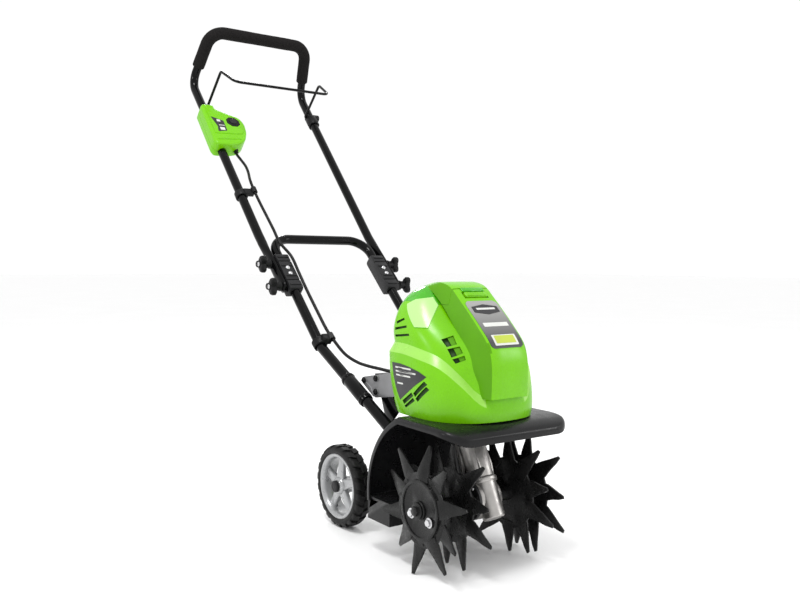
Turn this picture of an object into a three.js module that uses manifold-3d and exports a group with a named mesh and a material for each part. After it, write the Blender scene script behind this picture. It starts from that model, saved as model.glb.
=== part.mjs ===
// Cordless electric tiller: four star tines under a guard, a green motor housing,
// two transport wheels and a folding two-part handle.
// Millimetres. X runs across the machine, -Y is forward and +Z is up.
// Design points are given from the tine axle line, and the whole group is then moved
// back so that the origin lies on the ground under the middle of the machine.

import * as THREE from 'three';
import { mergeVertices } from 'three/addons/utils/BufferGeometryUtils.js';
import Module from 'manifold-3d';

const wasm = await Module();
wasm.setup();

// ---------------------------------------------------------------- driving sizes

const GAP = 0.3;                       // clearance between touching pieces
const MIDDLE_Y = 387.35;               // from the tine axle back to the middle of the machine

const AXLE_Z = 101.6;                  // tine axle height: 8 inch tines stand on their tips
const AXLE_R = 8;
const AXLE_PAST = 4;                   // how far the axle ends past the outer discs' planes

const TINE_R = 101.33;                  // blade tip radius before the tip's width is counted
const TINE_PLATE = 3;
const TINE_BLADES = 10;
const TINE_BEND = 0.18;                // radians that each blade is bent out of its disc
const TINE_BEND_R = 58;                // radius of the bend line
const INNER_TINE_X = 62;
// distance of each outer disc from the middle, and the discs' turns at rest;
// the right-hand outer disc sits closer in than the left-hand one
const TINE_SETS = [
  { side: 'left', sign: -1, outerX: 117, outerTurn: -0.244, innerTurn: 0.436 },
  { side: 'right', sign: 1, outerX: 94, outerTurn: 0.489, innerTurn: 0.314 },
];
const HUB_R = 12;
const OUTER_HUB = 14;                  // length of the outer discs' hubs
const FLANGE_R = 47;                   // dished flange on each outer disc
const FLANGE_DEPTH = 5.5;

const LEG_LEAN = 0.493;                // gearbox leg leans this far back from vertical
const LEG_FRONT = 22.5;                // leg axis ahead of the axle, at axle height
const LEG_FOOT = 39;                   // leg reaches this far past the axle, along its axis
const LEG_FOOT_R = 18;
const LEG_TOP_R = 22;
const DRUM_R = 32;                     // round gear drum about the axle
const DRUM_HALF = 21.5;
const BUSH_R = 12;
const WORM_TEETH = 20;                 // teeth of the worm wheel: one turn of the axle to 20 of the worm
const MOTOR_LOW = 165;                 // ends of the motor can, along the leg's axis
const MOTOR_HIGH = 245;
const MOTOR_R = 36;

const DECK_Z = 236;                    // top of the guard under the housing
const GUARD_R = 147;                   // rear fender radius about the tine axle
const GUARD_HALF = 125;
const GUARD_SHEET = 3;
const GUARD_LIP = 11;                  // depth of the turned-down edge
const GUARD_FRONT_Y = -84;
const GUARD_FRONT_Z = 221;
const FENDER_END_Z = 84;

const HOUSING_WALL = 3.2;
const SPINE_HALF = 38;
const COVER_FRONT_Y = 30;
const COVER_Z = 413;
const COVER_HALF = 76;
const LATCH_PLACE = [17, 428.5];       // y, z of the latch bar on the spine's slope

const WHEEL_Y = 275.7;
const WHEEL_R = 74.3;
const WHEEL_OUT = 105.8;               // outer face of each wheel
const TYRE_WIDTH = 32;
const RIM_R = 58.5;
const WHEEL_PIN_R = 5;
const SPOKES = 5;
const CARRIER_PIVOT = [162, 118];      // y, z of the wheel carrier's hinge
const CARRIER_HALF = 64;
const ARM_SHEET = 4;
const PIVOT_R = 6;

const TUBE_R = 9.5;
const TUBE_WALL = 1.5;
const LOWER_X = 113;                   // lower handle and frame tubes
const FRAME_END = [104, 216.7];        // y, z where the frame tube meets the fender
const LOWER_BEND = [316.5, 323.6];
const LOWER_TOP = [529, 527];
const LOWER_BEND_R = 42;
const SLEEVE_R = 12;
const CLAMP_X = 133;                   // upper handle legs at the clamps
const FLAT_HALF = 5.5;                 // half thickness of the legs' flattened lower ends
const STUD_ROOM_R = 4.2;               // holes for the clamp knobs' studs
const FOLD_PIVOT = [431, 433.3];       // y, z of the lower clamp knob
const LOCK_KNOB = [475.5, 475.9];      // y, z of the upper clamp knob
const UPPER_LOW = [540, 534.8];
const UPPER_BEND = [876.5, 897.7];
const UPPER_BEND_X = 142;
const GRIP_CORNER = [809, 1005];
const GRIP_CORNER_X = 121.5;
const UPPER_BEND_R = 38;
const FOAM_R = 14;
const FOAM_START = 0.3;                // share of the way from the bend to the grip's corner

const SWITCH_FRONT = 22;               // switch box depth above and below the tube axis
const SWITCH_BACK = 16;
const BAIL_S = 447;                    // the bail pivots in the upper tube, this far along it
const BAIL_R = 3;
const BAIL_LEG_X = 126;                // foot, crown and bar corner of each leg of the bail
const BAIL_CROWN_X = 124.5;
const BAIL_BAR_X = 117;
const CABLE_R = 3;
const CLIP_HALF = 7;                   // half length of the cable clips
const CLIP_R = 13;                     // clip's ring round the handle tube
const CABLE_CLIP_R = 6;                // clip's ring round the cable

// ---------------------------------------------------------------- finishes

const FINISH = {
  lime: [0x6fd000, 0.3, 0],
  smoked: [0x2f8f1c, 0.15, 0],
  blackSteel: [0x0d0d0e, 0.22, 0.4],
  darkSteel: [0x1b1a1a, 0.45, 0.7],
  castMetal: [0x8d8a86, 0.4, 0.9],
  brightSteel: [0xb9b9bb, 0.3, 1],
  greyPaint: [0x75757a, 0.5, 0.3],
  blackPlastic: [0x1d1d1f, 0.55, 0],
  greyPlastic: [0x4a4a4d, 0.6, 0],
  silverPlastic: [0xb4b7b6, 0.35, 0.4],
  rubber: [0x151515, 0.85, 0],
  foam: [0x232222, 0.95, 0],
  bronze: [0x9a7138, 0.4, 0.9],
  copper: [0xa8602e, 0.45, 0.8],
  board: [0x1c4a2a, 0.6, 0],
};

// ---------------------------------------------------------------- solids

function toSolid(geometry) {
  const plain = geometry.clone();
  plain.deleteAttribute('normal');
  plain.deleteAttribute('uv');
  const merged = mergeVertices(plain, 1e-4);
  return new wasm.Manifold(new wasm.Mesh({
    numProp: 3,
    vertProperties: new Float32Array(merged.attributes.position.array),
    triVerts: new Uint32Array(merged.index.array),
  }));
}

function toGeometry(manifold) {
  const mesh = manifold.getMesh();
  const geometry = new THREE.BufferGeometry();
  geometry.setAttribute('position', new THREE.BufferAttribute(mesh.vertProperties, 3));
  geometry.setIndex(new THREE.BufferAttribute(mesh.triVerts, 1));
  return geometry;
}

function join(...geometries) {
  const [first, ...rest] = geometries.map(toSolid);
  return toGeometry(rest.reduce((whole, piece) => whole.add(piece), first));
}

function cut(geometry, ...tools) {
  const remove = (left, tool) => left.subtract(toSolid(tool));
  return toGeometry(tools.reduce(remove, toSolid(geometry)));
}

function overlap(first, second) {
  return toGeometry(toSolid(first).intersect(toSolid(second)));
}

// ---------------------------------------------------------------- shape helpers

// Turns a solid drawn in X-Y and extruded along Z so that it is drawn in Y-Z and runs along X.
const DRAWN_FROM_SIDE = new THREE.Matrix4().makeBasis(
  new THREE.Vector3(0, 1, 0), new THREE.Vector3(0, 0, 1), new THREE.Vector3(1, 0, 0));

function outline(points) {
  return new THREE.Shape(points.map(([a, b]) => new THREE.Vector2(a, b)));
}

function disc(radius, sides = 32, holeRadius = 0, holeSides = sides) {
  const shape = new THREE.Shape(ringPoints(radius, sides));
  if (holeRadius > 0) shape.holes.push(new THREE.Path(ringPoints(holeRadius, holeSides)));
  return shape;
}

function ringPoints(radius, sides) {
  return Array.from({ length: sides }, (unused, i) => {
    const turn = (i / sides) * 2 * Math.PI;
    return new THREE.Vector2(radius * Math.cos(turn), radius * Math.sin(turn));
  });
}

function roundedPlate(width, height, radius, steps = 4) {
  const points = [];
  const corners = [[1, 1, 0], [-1, 1, 1], [-1, -1, 2], [1, -1, 3]];
  for (const [sx, sy, quarter] of corners) {
    for (let i = 0; i <= steps; i += 1) {
      const turn = (quarter + i / steps) * Math.PI / 2;
      points.push(new THREE.Vector2(
        sx * (width / 2 - radius) + radius * Math.cos(turn),
        sy * (height / 2 - radius) + radius * Math.sin(turn)));
    }
  }
  return new THREE.Shape(points);
}

// A shape drawn in Y-Z that fills the space from x0 to x1.
function acrossX(shape, x0, x1) {
  const geometry = new THREE.ExtrudeGeometry(shape, { depth: x1 - x0, bevelEnabled: false });
  return geometry.applyMatrix4(DRAWN_FROM_SIDE).translate(x0, 0, 0);
}

function upZ(shape, z0, z1) {
  const geometry = new THREE.ExtrudeGeometry(shape, { depth: z1 - z0, bevelEnabled: false });
  return geometry.translate(0, 0, z0);
}

function rodX(radius, x0, x1, sides = 24, bore = 0) {
  return acrossX(disc(radius, sides, bore), x0, x1);
}

function block([x0, y0, z0], [x1, y1, z1]) {
  const box = new THREE.BoxGeometry(x1 - x0, y1 - y0, z1 - z0);
  return box.translate((x0 + x1) / 2, (y0 + y1) / 2, (z0 + z1) / 2);
}

// Joins rings of points, each with the same count, into one closed skin.
function loft(rings) {
  const count = rings[0].length;
  const points = rings.flat();
  const faces = [];
  const centre = (ring) => {
    const sum = ring.reduce((total, point) => total.add(point), new THREE.Vector3());
    return sum.divideScalar(count);
  };
  for (let level = 0; level + 1 < rings.length; level += 1) {
    for (let i = 0; i < count; i += 1) {
      const a = level * count + i;
      const b = level * count + (i + 1) % count;
      faces.push(a, b, b + count, a, b + count, a + count);
    }
  }
  const low = points.push(centre(rings[0])) - 1;
  const high = points.push(centre(rings[rings.length - 1])) - 1;
  const last = (rings.length - 1) * count;
  for (let i = 0; i < count; i += 1) {
    const next = (i + 1) % count;
    faces.push(low, next, i, high, last + i, last + next);
  }
  const geometry = new THREE.BufferGeometry().setFromPoints(points);
  geometry.setIndex(faces);
  return geometry;
}

const ARC_STEP = 0.4;                  // radians of a bend that one straight step covers

// A centre line of straight runs joined by arcs, stepped once per straight and evenly round each arc.
// The radius is one number, or a list with one for each bend.
class BentLine extends THREE.Curve {
  constructor(corners, radius) {
    super();
    this.nodes = [corners[0].clone()];
    for (let i = 1; i + 1 < corners.length; i += 1) {
      const bend = Array.isArray(radius) ? radius[i - 1] : radius;
      this.roundCorner(corners[i - 1], corners[i], corners[i + 1], bend);
    }
    this.nodes.push(corners[corners.length - 1].clone());
  }

  roundCorner(before, corner, after, radius) {
    const back = before.clone().sub(corner).normalize();
    const ahead = after.clone().sub(corner).normalize();
    const half = back.angleTo(ahead) / 2;
    const centreLine = back.clone().add(ahead).normalize();
    const centre = corner.clone().addScaledVector(centreLine, radius / Math.sin(half));
    const start = corner.clone().addScaledVector(back, radius / Math.tan(half)).sub(centre);
    const axis = ahead.clone().cross(back).normalize();
    const steps = Math.ceil((Math.PI - 2 * half) / ARC_STEP);
    for (let i = 0; i <= steps; i += 1) {
      const turn = -(Math.PI - 2 * half) * (i / steps);
      this.nodes.push(start.clone().applyAxisAngle(axis, -turn).add(centre));
    }
  }

  get steps() {
    return this.nodes.length - 1;
  }

  getPoint(t) {
    const place = Math.min(t, 1) * this.steps;
    const index = Math.min(Math.floor(place), this.steps - 1);
    return this.nodes[index].clone().lerp(this.nodes[index + 1], place - index);
  }

  getPointAt(t) {
    return this.getPoint(t);
  }

  getTangentAt(t) {
    const index = Math.round(t * this.steps);
    const before = this.nodes[Math.max(index - 1, 0)];
    const after = this.nodes[Math.min(index + 1, this.steps)];
    const here = this.nodes[index];
    const incoming = here.clone().sub(before).normalize();
    const outgoing = after.clone().sub(here).normalize();
    return incoming.add(outgoing).normalize();
  }
}

// Radius of a many-sided hole that clears a round piece by the gap.
const around = (radius, sides) => (radius + GAP) / Math.cos(Math.PI / sides);

function tube(line, radius, bore = 0, sides = 12, boreSides = 8) {
  return new THREE.ExtrudeGeometry(disc(radius, sides, bore, boreSides), {
    steps: line.steps, extrudePath: line, bevelEnabled: false,
  });
}

// ---------------------------------------------------------------- assembly helpers

const machine = new THREE.Group();
machine.position.y = -MIDDLE_Y;

function add(name, geometry, finish, [x, y, z] = [0, 0, 0]) {
  const [color, roughness, metalness] = FINISH[finish];
  const mesh = new THREE.Mesh(geometry, new THREE.MeshStandardMaterial({ color, roughness, metalness }));
  mesh.name = name;
  mesh.position.set(x, y, z);
  machine.add(mesh);
  return mesh;
}

const SIDES = [['left', -1], ['right', 1]];      // left is the -X side

const vec = (x, [y, z]) => new THREE.Vector3(x, y, z);
const alongLine = ([y0, z0], [y1, z1], share) => [y0 + (y1 - y0) * share, z0 + (z1 - z0) * share];

function slopeOf([y0, z0], [y1, z1]) {
  return Math.atan2(z1 - z0, y1 - y0);
}

// x range of a band between two distances from the middle, on one side of the machine
const band = (sign, inner, outer) => (sign < 0 ? [-outer, -inner] : [inner, outer]);

// ---------------------------------------------------------------- tines

function tineBlade(turn, bendSign) {
  const reach = TINE_BEND_R + (TINE_R - TINE_BEND_R) / Math.cos(TINE_BEND);
  const blade = outline([
    [46, -14], [60, -13.5], [72, -9.5], [86, -4], [reach - 1, 1],
    [reach, 5.5], [90, 8.5], [74, 10], [60, 13], [46, 15],
  ]);
  const plate = acrossX(blade, -TINE_PLATE / 2, TINE_PLATE / 2);
  plate.translate(0, -TINE_BEND_R, 0);
  plate.rotateZ(-bendSign * TINE_BEND);
  plate.translate(0, TINE_BEND_R, 0);
  return plate.rotateX(turn);
}

// A star disc with alternately bent blades, its hub tube, and on the outer disc a dished flange.
function tineDisc(phase, [hubStart, hubEnd], flange) {
  const blades = Array.from({ length: TINE_BLADES }, (unused, i) => (
    tineBlade(phase + (i / TINE_BLADES) * 2 * Math.PI, i % 2 ? 1 : -1)));
  const plate = rodX(TINE_BEND_R, -TINE_PLATE / 2, TINE_PLATE / 2, 24);
  const hub = rodX(HUB_R, hubStart, hubEnd, 12);
  return cut(join(plate, hub, ...blades, ...flange), rodX(AXLE_R + GAP, -200, 200, 12));
}

function addTines() {
  for (const { side, sign, outerX, outerTurn, innerTurn } of TINE_SETS) {
    const flange = cut(rodX(FLANGE_R, ...band(sign, 1, FLANGE_DEPTH), 24),
      rodX(FLANGE_R - 5, ...band(sign, FLANGE_DEPTH - 2, 9), 24));
    const outer = tineDisc(outerTurn, [-OUTER_HUB / 2, OUTER_HUB / 2], [flange]);
    add(`outer_tine_${side}`, outer, 'darkSteel', [sign * outerX, 0, AXLE_Z]);
    const reach = outerX - OUTER_HUB / 2 - GAP - INNER_TINE_X;
    const inner = tineDisc(innerTurn, band(sign, -33, reach), []);
    add(`inner_tine_${side}`, inner, 'darkSteel', [sign * INNER_TINE_X, 0, AXLE_Z]);
    const washer = rodX(13, ...band(sign, 8, 10), 16);
    const nut = rodX(8, ...band(sign, 9.5, 15), 6);
    const stud = rodX(3, ...band(sign, AXLE_PAST + GAP, 9), 8);
    add(`tine_retainer_${side}`, join(washer, nut, stud), 'darkSteel', [sign * outerX, 0, AXLE_Z]);
  }
}

// ---------------------------------------------------------------- gearbox and motor

// Places a solid drawn about its own Z axis on the leg's axis, with z = 0 level with the axle.
const LEG_OFFSET = LEG_FRONT * Math.cos(LEG_LEAN);
const LEG_FRAME = new THREE.Matrix4()
  .makeTranslation(0, -LEG_OFFSET * Math.cos(LEG_LEAN), AXLE_Z + LEG_OFFSET * Math.sin(LEG_LEAN))
  .multiply(new THREE.Matrix4().makeRotationX(-LEG_LEAN));

function turned(profile, sides = 24) {
  const lathe = new THREE.LatheGeometry(profile.map(([r, z]) => new THREE.Vector2(r, z)), sides);
  return lathe.rotateX(Math.PI / 2).applyMatrix4(LEG_FRAME);
}

function addGearbox() {
  const legTop = 175;
  const leg = turned([[0, -LEG_FOOT], [LEG_FOOT_R - 2, -LEG_FOOT], [LEG_FOOT_R, -LEG_FOOT + 2],
    [LEG_TOP_R, 60], [LEG_TOP_R, legTop], [0, legTop]], 24);
  const drum = rodX(DRUM_R, -DRUM_HALF, DRUM_HALF, 30).translate(0, 0, AXLE_Z);
  const flange = upZ(roundedPlate(76, 60, 10), DECK_Z - GUARD_SHEET - 8, DECK_Z - GUARD_SHEET - GAP)
    .translate(0, 46, 0);
  const underDeck = acrossX(outline([...guardTop(GUARD_SHEET + GAP, 0), [GUARD_FRONT_Y, 0]]), -60, 60);
  const ribs = [-1, 1].map((sign) => block([sign * 14 - 2, 0, 0], [sign * 14 + 2, 26, 92])
    .rotateX(-LEG_LEAN).translate(0, -6, AXLE_Z + 20));
  const casting = overlap(join(leg, drum, flange, ...ribs), underDeck);
  const gearRoom = rodX(26, -DRUM_HALF - 1, 10, 20).translate(0, 0, AXLE_Z);
  const axleBore = rodX(BUSH_R + GAP, -40, 40, 16).translate(0, 0, AXLE_Z);
  const wormBore = turned([[0, -32], [8.5, -32], [8.5, 200], [0, 200]], 14);
  add('gearbox_housing', cut(casting, gearRoom, axleBore, wormBore), 'castMetal');

  const coverPlate = join(rodX(DRUM_R, -DRUM_HALF - 5, -DRUM_HALF - GAP, 30),
    rodX(17, -DRUM_HALF - 6, -DRUM_HALF - 4, 20));
  add('gearbox_cover', cut(coverPlate, rodX(BUSH_R + GAP, -60, 0, 16)), 'darkSteel', [0, 0, AXLE_Z]);
  for (const [side, sign] of SIDES) {
    const bush = rodX(BUSH_R, ...band(sign, 11, 18.7), 16, AXLE_R + GAP);
    add(`axle_bush_${side}`, bush, 'bronze', [0, 0, AXLE_Z]);
  }
}

function toothedDisc(radius, depth, teeth) {
  const points = [];
  for (let i = 0; i < teeth; i += 1) {
    const root = radius - depth;
    for (const [share, reach] of [[0, radius], [0.3, radius], [0.5, root], [0.8, root]]) {
      const turn = ((i + share) / teeth) * 2 * Math.PI;
      points.push([reach * Math.cos(turn), reach * Math.sin(turn)]);
    }
  }
  return outline(points);
}

function addGears() {
  const [leftEnd, rightEnd] = TINE_SETS.map(({ sign, outerX }) => sign * (outerX + AXLE_PAST));
  add('tine_axle', rodX(AXLE_R, leftEnd, rightEnd, 20), 'brightSteel', [0, 0, AXLE_Z]);
  const wheel = cut(acrossX(toothedDisc(14, 2, WORM_TEETH), -5, 5), rodX(AXLE_R + GAP, -9, 9, 20));
  add('worm_wheel', wheel, 'bronze', [0, 0, AXLE_Z]);
  const wormRidges = Array.from({ length: 3 }, (unused, i) => {
    const z = -7 + i * 7;
    return [[4.2, z - 1.6], [5.3, z - 0.6], [5.3, z + 0.6], [4.2, z + 1.6]];
  }).flat();
  add('worm_shaft', turned([[0, -28], [4, -28], [4, -14], ...wormRidges, [4, 14], [5, 24],
    [5, 176], [3.5, 176], [3.5, 228], [0, 228]], 12), 'brightSteel');
}

function addMotor() {
  const can = turned([[8, MOTOR_LOW], [MOTOR_R - 2, MOTOR_LOW], [MOTOR_R, MOTOR_LOW + 2],
    [MOTOR_R, MOTOR_HIGH - 6], [MOTOR_R - 6, MOTOR_HIGH], [0, MOTOR_HIGH], [0, MOTOR_HIGH - 8],
    [MOTOR_R - 3, MOTOR_HIGH - 8], [MOTOR_R - 3, MOTOR_LOW + 4], [8, MOTOR_LOW + 4], [8, MOTOR_LOW]], 24);
  add('motor_can', can, 'blackSteel');
  const shaftR = 3.5 + GAP;
  const rotor = [[shaftR, MOTOR_LOW + 14], [24, MOTOR_LOW + 14], [24, MOTOR_HIGH - 22],
    [shaftR, MOTOR_HIGH - 22], [shaftR, MOTOR_LOW + 14]];
  add('motor_rotor', turned(rotor, 16), 'copper');
  const saddle = block([-44, 8, DECK_Z + GAP], [44, 112, DECK_Z + 46]);
  const seatR = MOTOR_R + 2 * GAP;
  const seat = turned([[0, 120], [seatR, 120], [seatR, 300], [0, 300]], 24);
  const window = block([-30, 30, DECK_Z - 1], [30, 96, DECK_Z + 60]);
  const frontStep = block([-60, 0, DECK_Z + 22], [60, 30, DECK_Z + 60]);
  add('motor_mount', cut(saddle, seat, window, frontStep), 'castMetal');
}

// ---------------------------------------------------------------- guard

// Top line of the guard from its front lip back over the deck and down the fender.
function guardTop(drop, overrun) {
  const arcStart = Math.acos((DECK_Z - AXLE_Z) / GUARD_R);
  const arcEnd = Math.PI / 2 + Math.asin((AXLE_Z - FENDER_END_Z) / GUARD_R) + overrun;
  const points = [[GUARD_FRONT_Y, GUARD_FRONT_Z - drop], [GUARD_FRONT_Y + 12, GUARD_FRONT_Z + 8 - drop],
    [GUARD_FRONT_Y + 34, DECK_Z - 3 - drop], [GUARD_FRONT_Y + 46, DECK_Z - drop]];
  const steps = 12;
  for (let i = 0; i <= steps; i += 1) {
    const turn = arcStart + (arcEnd - arcStart) * (i / steps);
    points.push([(GUARD_R - drop) * Math.sin(turn), AXLE_Z + (GUARD_R - drop) * Math.cos(turn)]);
  }
  return points;
}

function guardBand(top, bottom, half, overrun = 0) {
  const section = [...guardTop(top, overrun), ...guardTop(bottom, overrun).reverse()];
  return acrossX(outline(section), -half, half);
}

function addGuard() {
  const lipped = guardBand(0, GUARD_LIP, GUARD_HALF);
  const frontLip = block([-200, GUARD_FRONT_Y - 5, 150], [200, GUARD_FRONT_Y + GUARD_SHEET, 250]);
  const under = guardBand(GUARD_SHEET, GUARD_LIP + 5, GUARD_HALF - GUARD_SHEET, 0.05);
  const legHole = turned([[0, 60], [LEG_TOP_R + 3, 60], [LEG_TOP_R + 3, 260], [0, 260]], 20);
  const planHigh = 400;
  const plan = upZ(roundedPlate(2 * GUARD_HALF, planHigh, 34, 6), -10, 400)
    .translate(0, GUARD_FRONT_Y + planHigh / 2, 0);
  add('tine_guard', cut(overlap(lipped, plan), cut(under, frontLip), legHole), 'blackPlastic');
}

// ---------------------------------------------------------------- green housing

// height, half width, front y, rear y of the housing's plan outline
const HOUSING_TOP = 447;
const HOUSING_LEVELS = [
  [DECK_Z + GAP, 98, -60, 124], [252, 101, -62, 128], [280, 104, -58, 134], [310, 105, -50, 138],
  [340, 104, -38, 140], [370, 103, -10, 143], [395, 95, 18, 141], [414, 85, 38, 135],
  [430, 71, 54, 125], [441, 55, 65, 111], [HOUSING_TOP, 38, 76, 98],
];
const DOME_LEVEL = 7;                  // from this level up the skin slopes in over the top
const REAR_SQUARENESS = 4.2;           // the plan's rear half is nearly square, its front half round
const FRONT_SQUARENESS = 2.3;

function housingRing([z, half, front, rear], inset, sides = 32) {
  const middle = (front + rear) / 2;
  const reach = (rear - front) / 2;
  return Array.from({ length: sides }, (unused, i) => {
    const turn = (i / sides) * 2 * Math.PI;
    const c = Math.cos(turn);
    const s = Math.sin(turn);
    const power = 2 / (s < 0 ? FRONT_SQUARENESS : REAR_SQUARENESS);
    return new THREE.Vector3(
      (half - inset) * Math.sign(c) * Math.abs(c) ** power,
      middle + (reach - inset) * Math.sign(s) * Math.abs(s) ** power, z);
  });
}

// Side view of the raised spine that runs up the front and over the top.
function spineProfile(inset) {
  return outline([
    [-68 + inset, DECK_Z + GAP], [60, DECK_Z + GAP], [60, 400], [118 - inset, 424 - inset],
    [104, 441 - inset], [66, 449 - inset], [34, 443 - inset], [0, 414 - inset],
    [-47 + inset, 370 - inset], [-60 + inset, 355], [-67 + inset, 338], [-69 + inset, 300],
  ]);
}

// The housing's outer solid, or with an inset the room inside its wall, open at the bottom.
function housingSolid(inset) {
  const height = (z, level) => {
    if (level === 0) return inset > 0 ? z - 5 : z;
    const drop = level >= DOME_LEVEL ? inset * 0.6 : 0;
    return Math.min(z, HOUSING_TOP - inset) - drop;
  };
  const levels = HOUSING_LEVELS.map(([z, ...plan], level) => [height(z, level), ...plan]);
  const body = loft(levels.map((level) => housingRing(level, inset)));
  const spine = acrossX(spineProfile(inset), -SPINE_HALF + inset, SPINE_HALF - inset);
  return join(body, spine);
}

// Sets a solid drawn flat on the spine's slope, where the latch is.
function onLatchSlope(geometry) {
  return geometry.rotateX(slopeOf([0, 414], [34, 443])).translate(0, ...LATCH_PLACE);
}

function addHousing() {
  const outer = housingSolid(0);
  const spineInside = SPINE_HALF - HOUSING_WALL;
  const spineFoot = block([-spineInside, -60, DECK_Z - 5], [spineInside, 60, DECK_Z + 5]);
  const shell = cut(outer, join(housingSolid(HOUSING_WALL), spineFoot));
  const lidSpace = (gap) => block([-COVER_HALF + gap, COVER_FRONT_Y + gap, COVER_Z + gap],
    [COVER_HALF - gap, 160, 470]);
  const latchWell = onLatchSlope(block([-25, -7, -11], [25, 7, 20]));
  const latchPocket = onLatchSlope(block([-28, -10, -14], [28, 10, -2.2]));
  const bracketSlots = SIDES.map(([, sign]) => {
    const [x0, x1] = band(sign, 90.4, 99.4);
    return block([x0, 90, 230], [x1, 150, 302]);
  });
  const cableHole = rodX(CABLE_R + 1, -10, 10, 12).rotateZ(Math.PI / 2).translate(-80, 134, 297);
  const pocketed = join(shell, overlap(latchPocket, outer));
  add('motor_housing', cut(pocketed, lidSpace(0), latchWell, cableHole, ...bracketSlots), 'lime');
  add('battery_cover', overlap(shell, lidSpace(GAP)), 'smoked');
  const bar = block([-24.3, -6.3, -6], [24.3, 6.3, 1.5]);
  const ridge = block([-12, -1.5, 1], [12, 1.5, 3]);
  add('battery_latch', onLatchSlope(join(bar, ridge)), 'lime');
}

function addBattery() {
  const pack = upZ(roundedPlate(66, 96, 10), 352, 408);
  const topGrip = upZ(roundedPlate(46, 70, 8), 407, 414);
  add('battery_pack', join(pack, topGrip).translate(0, 78, 0), 'blackPlastic');
  const tray = upZ(roundedPlate(112, 112, 12), 340, 352 - GAP);
  const trayLegs = [[-52, 24], [-52, 106], [52, 24], [52, 106]].map(([x, y]) => (
    block([x - 3, y - 3, DECK_Z + GAP], [x + 3, y + 3, 340])));
  const motorRoom = turned([[0, 120], [38, 120], [38, 300], [0, 300]], 24);
  add('battery_tray', cut(join(tray.translate(0, 74, 0), ...trayLegs), motorRoom), 'blackPlastic');
  add('control_board', block([-70, 20, 262], [-66, 80, 330]), 'board');
}

// ---------------------------------------------------------------- frame behind the housing

// Room for the round fender, so that a piece that rests on it follows it with a gap.
const fenderRoom = () => rodX(GUARD_R + GAP, -200, 200, 96).translate(0, 0, AXLE_Z);

// A straight bar on the frame tube's line, between two shares of the way from its foot to the bend.
function onFrameLine(sign, start, end, radius, bore, sides, boreSides) {
  const ends = [start, end].map((share) => (
    vec(sign * LOWER_X, alongLine(FRAME_END, LOWER_BEND, share))));
  return tube(new BentLine(ends, 1), radius, bore, sides, boreSides);
}

function frameBracket(sign) {
  const inner = 95.3;
  const plate = acrossX(outline([
    [92, 260], [100, 261], [158, 251.5], [202, 276], [196, 283], [112, 299], [92, 299]]),
    ...band(sign, inner, inner + 3.2));
  const web = acrossX(outline([[160, 253], [200, 276], [196, 281], [170, 268]]),
    ...band(sign, inner + 2.7, inner + 5.9));
  const bolts = [[153.6, 285], [153.6, 262], [190, 278]].map(([y, z]) => {
    const head = rodX(5.4, ...band(sign, inner + 2.7, inner + 5.1), 14);
    const crown = rodX(3.6, ...band(sign, inner + 4.7, inner + 6.5), 14);
    return join(head, crown).translate(0, y, z);
  });
  return cut(join(plate, web, ...bolts), onFrameLine(sign, -0.2, 1.2, SLEEVE_R + GAP, 0, 24));
}

function addFrame() {
  for (const [side, sign] of SIDES) {
    const stub = onFrameLine(sign, -0.06, 0.42, TUBE_R, TUBE_R - TUBE_WALL);
    add(`frame_tube_${side}`, cut(stub, fenderRoom()), 'blackSteel');
    const sleeve = onFrameLine(sign, 0.27, 0.575, SLEEVE_R, around(TUBE_R, 12), 12, 12);
    add(`tube_sleeve_${side}`, sleeve, 'blackSteel');
    add(`frame_bracket_${side}`, frameBracket(sign), 'greyPaint');
  }
  const channel = acrossX(outline([[143, 256], [166, 256], [166, 292], [143, 292], [143, 288],
    [162, 288], [162, 260], [143, 260]]), -95, 95);
  const gusset = outline([[96, 236], [118, 213], [134, 220], [148, 257], [146, 270],
    [128, 268], [112, 258]]);
  const gussets = SIDES.map(([, sign]) => acrossX(gusset, ...band(sign, 91, 95)));
  add('rear_frame', cut(join(channel, ...gussets), fenderRoom()), 'blackSteel');
}

// ---------------------------------------------------------------- transport wheels

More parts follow.
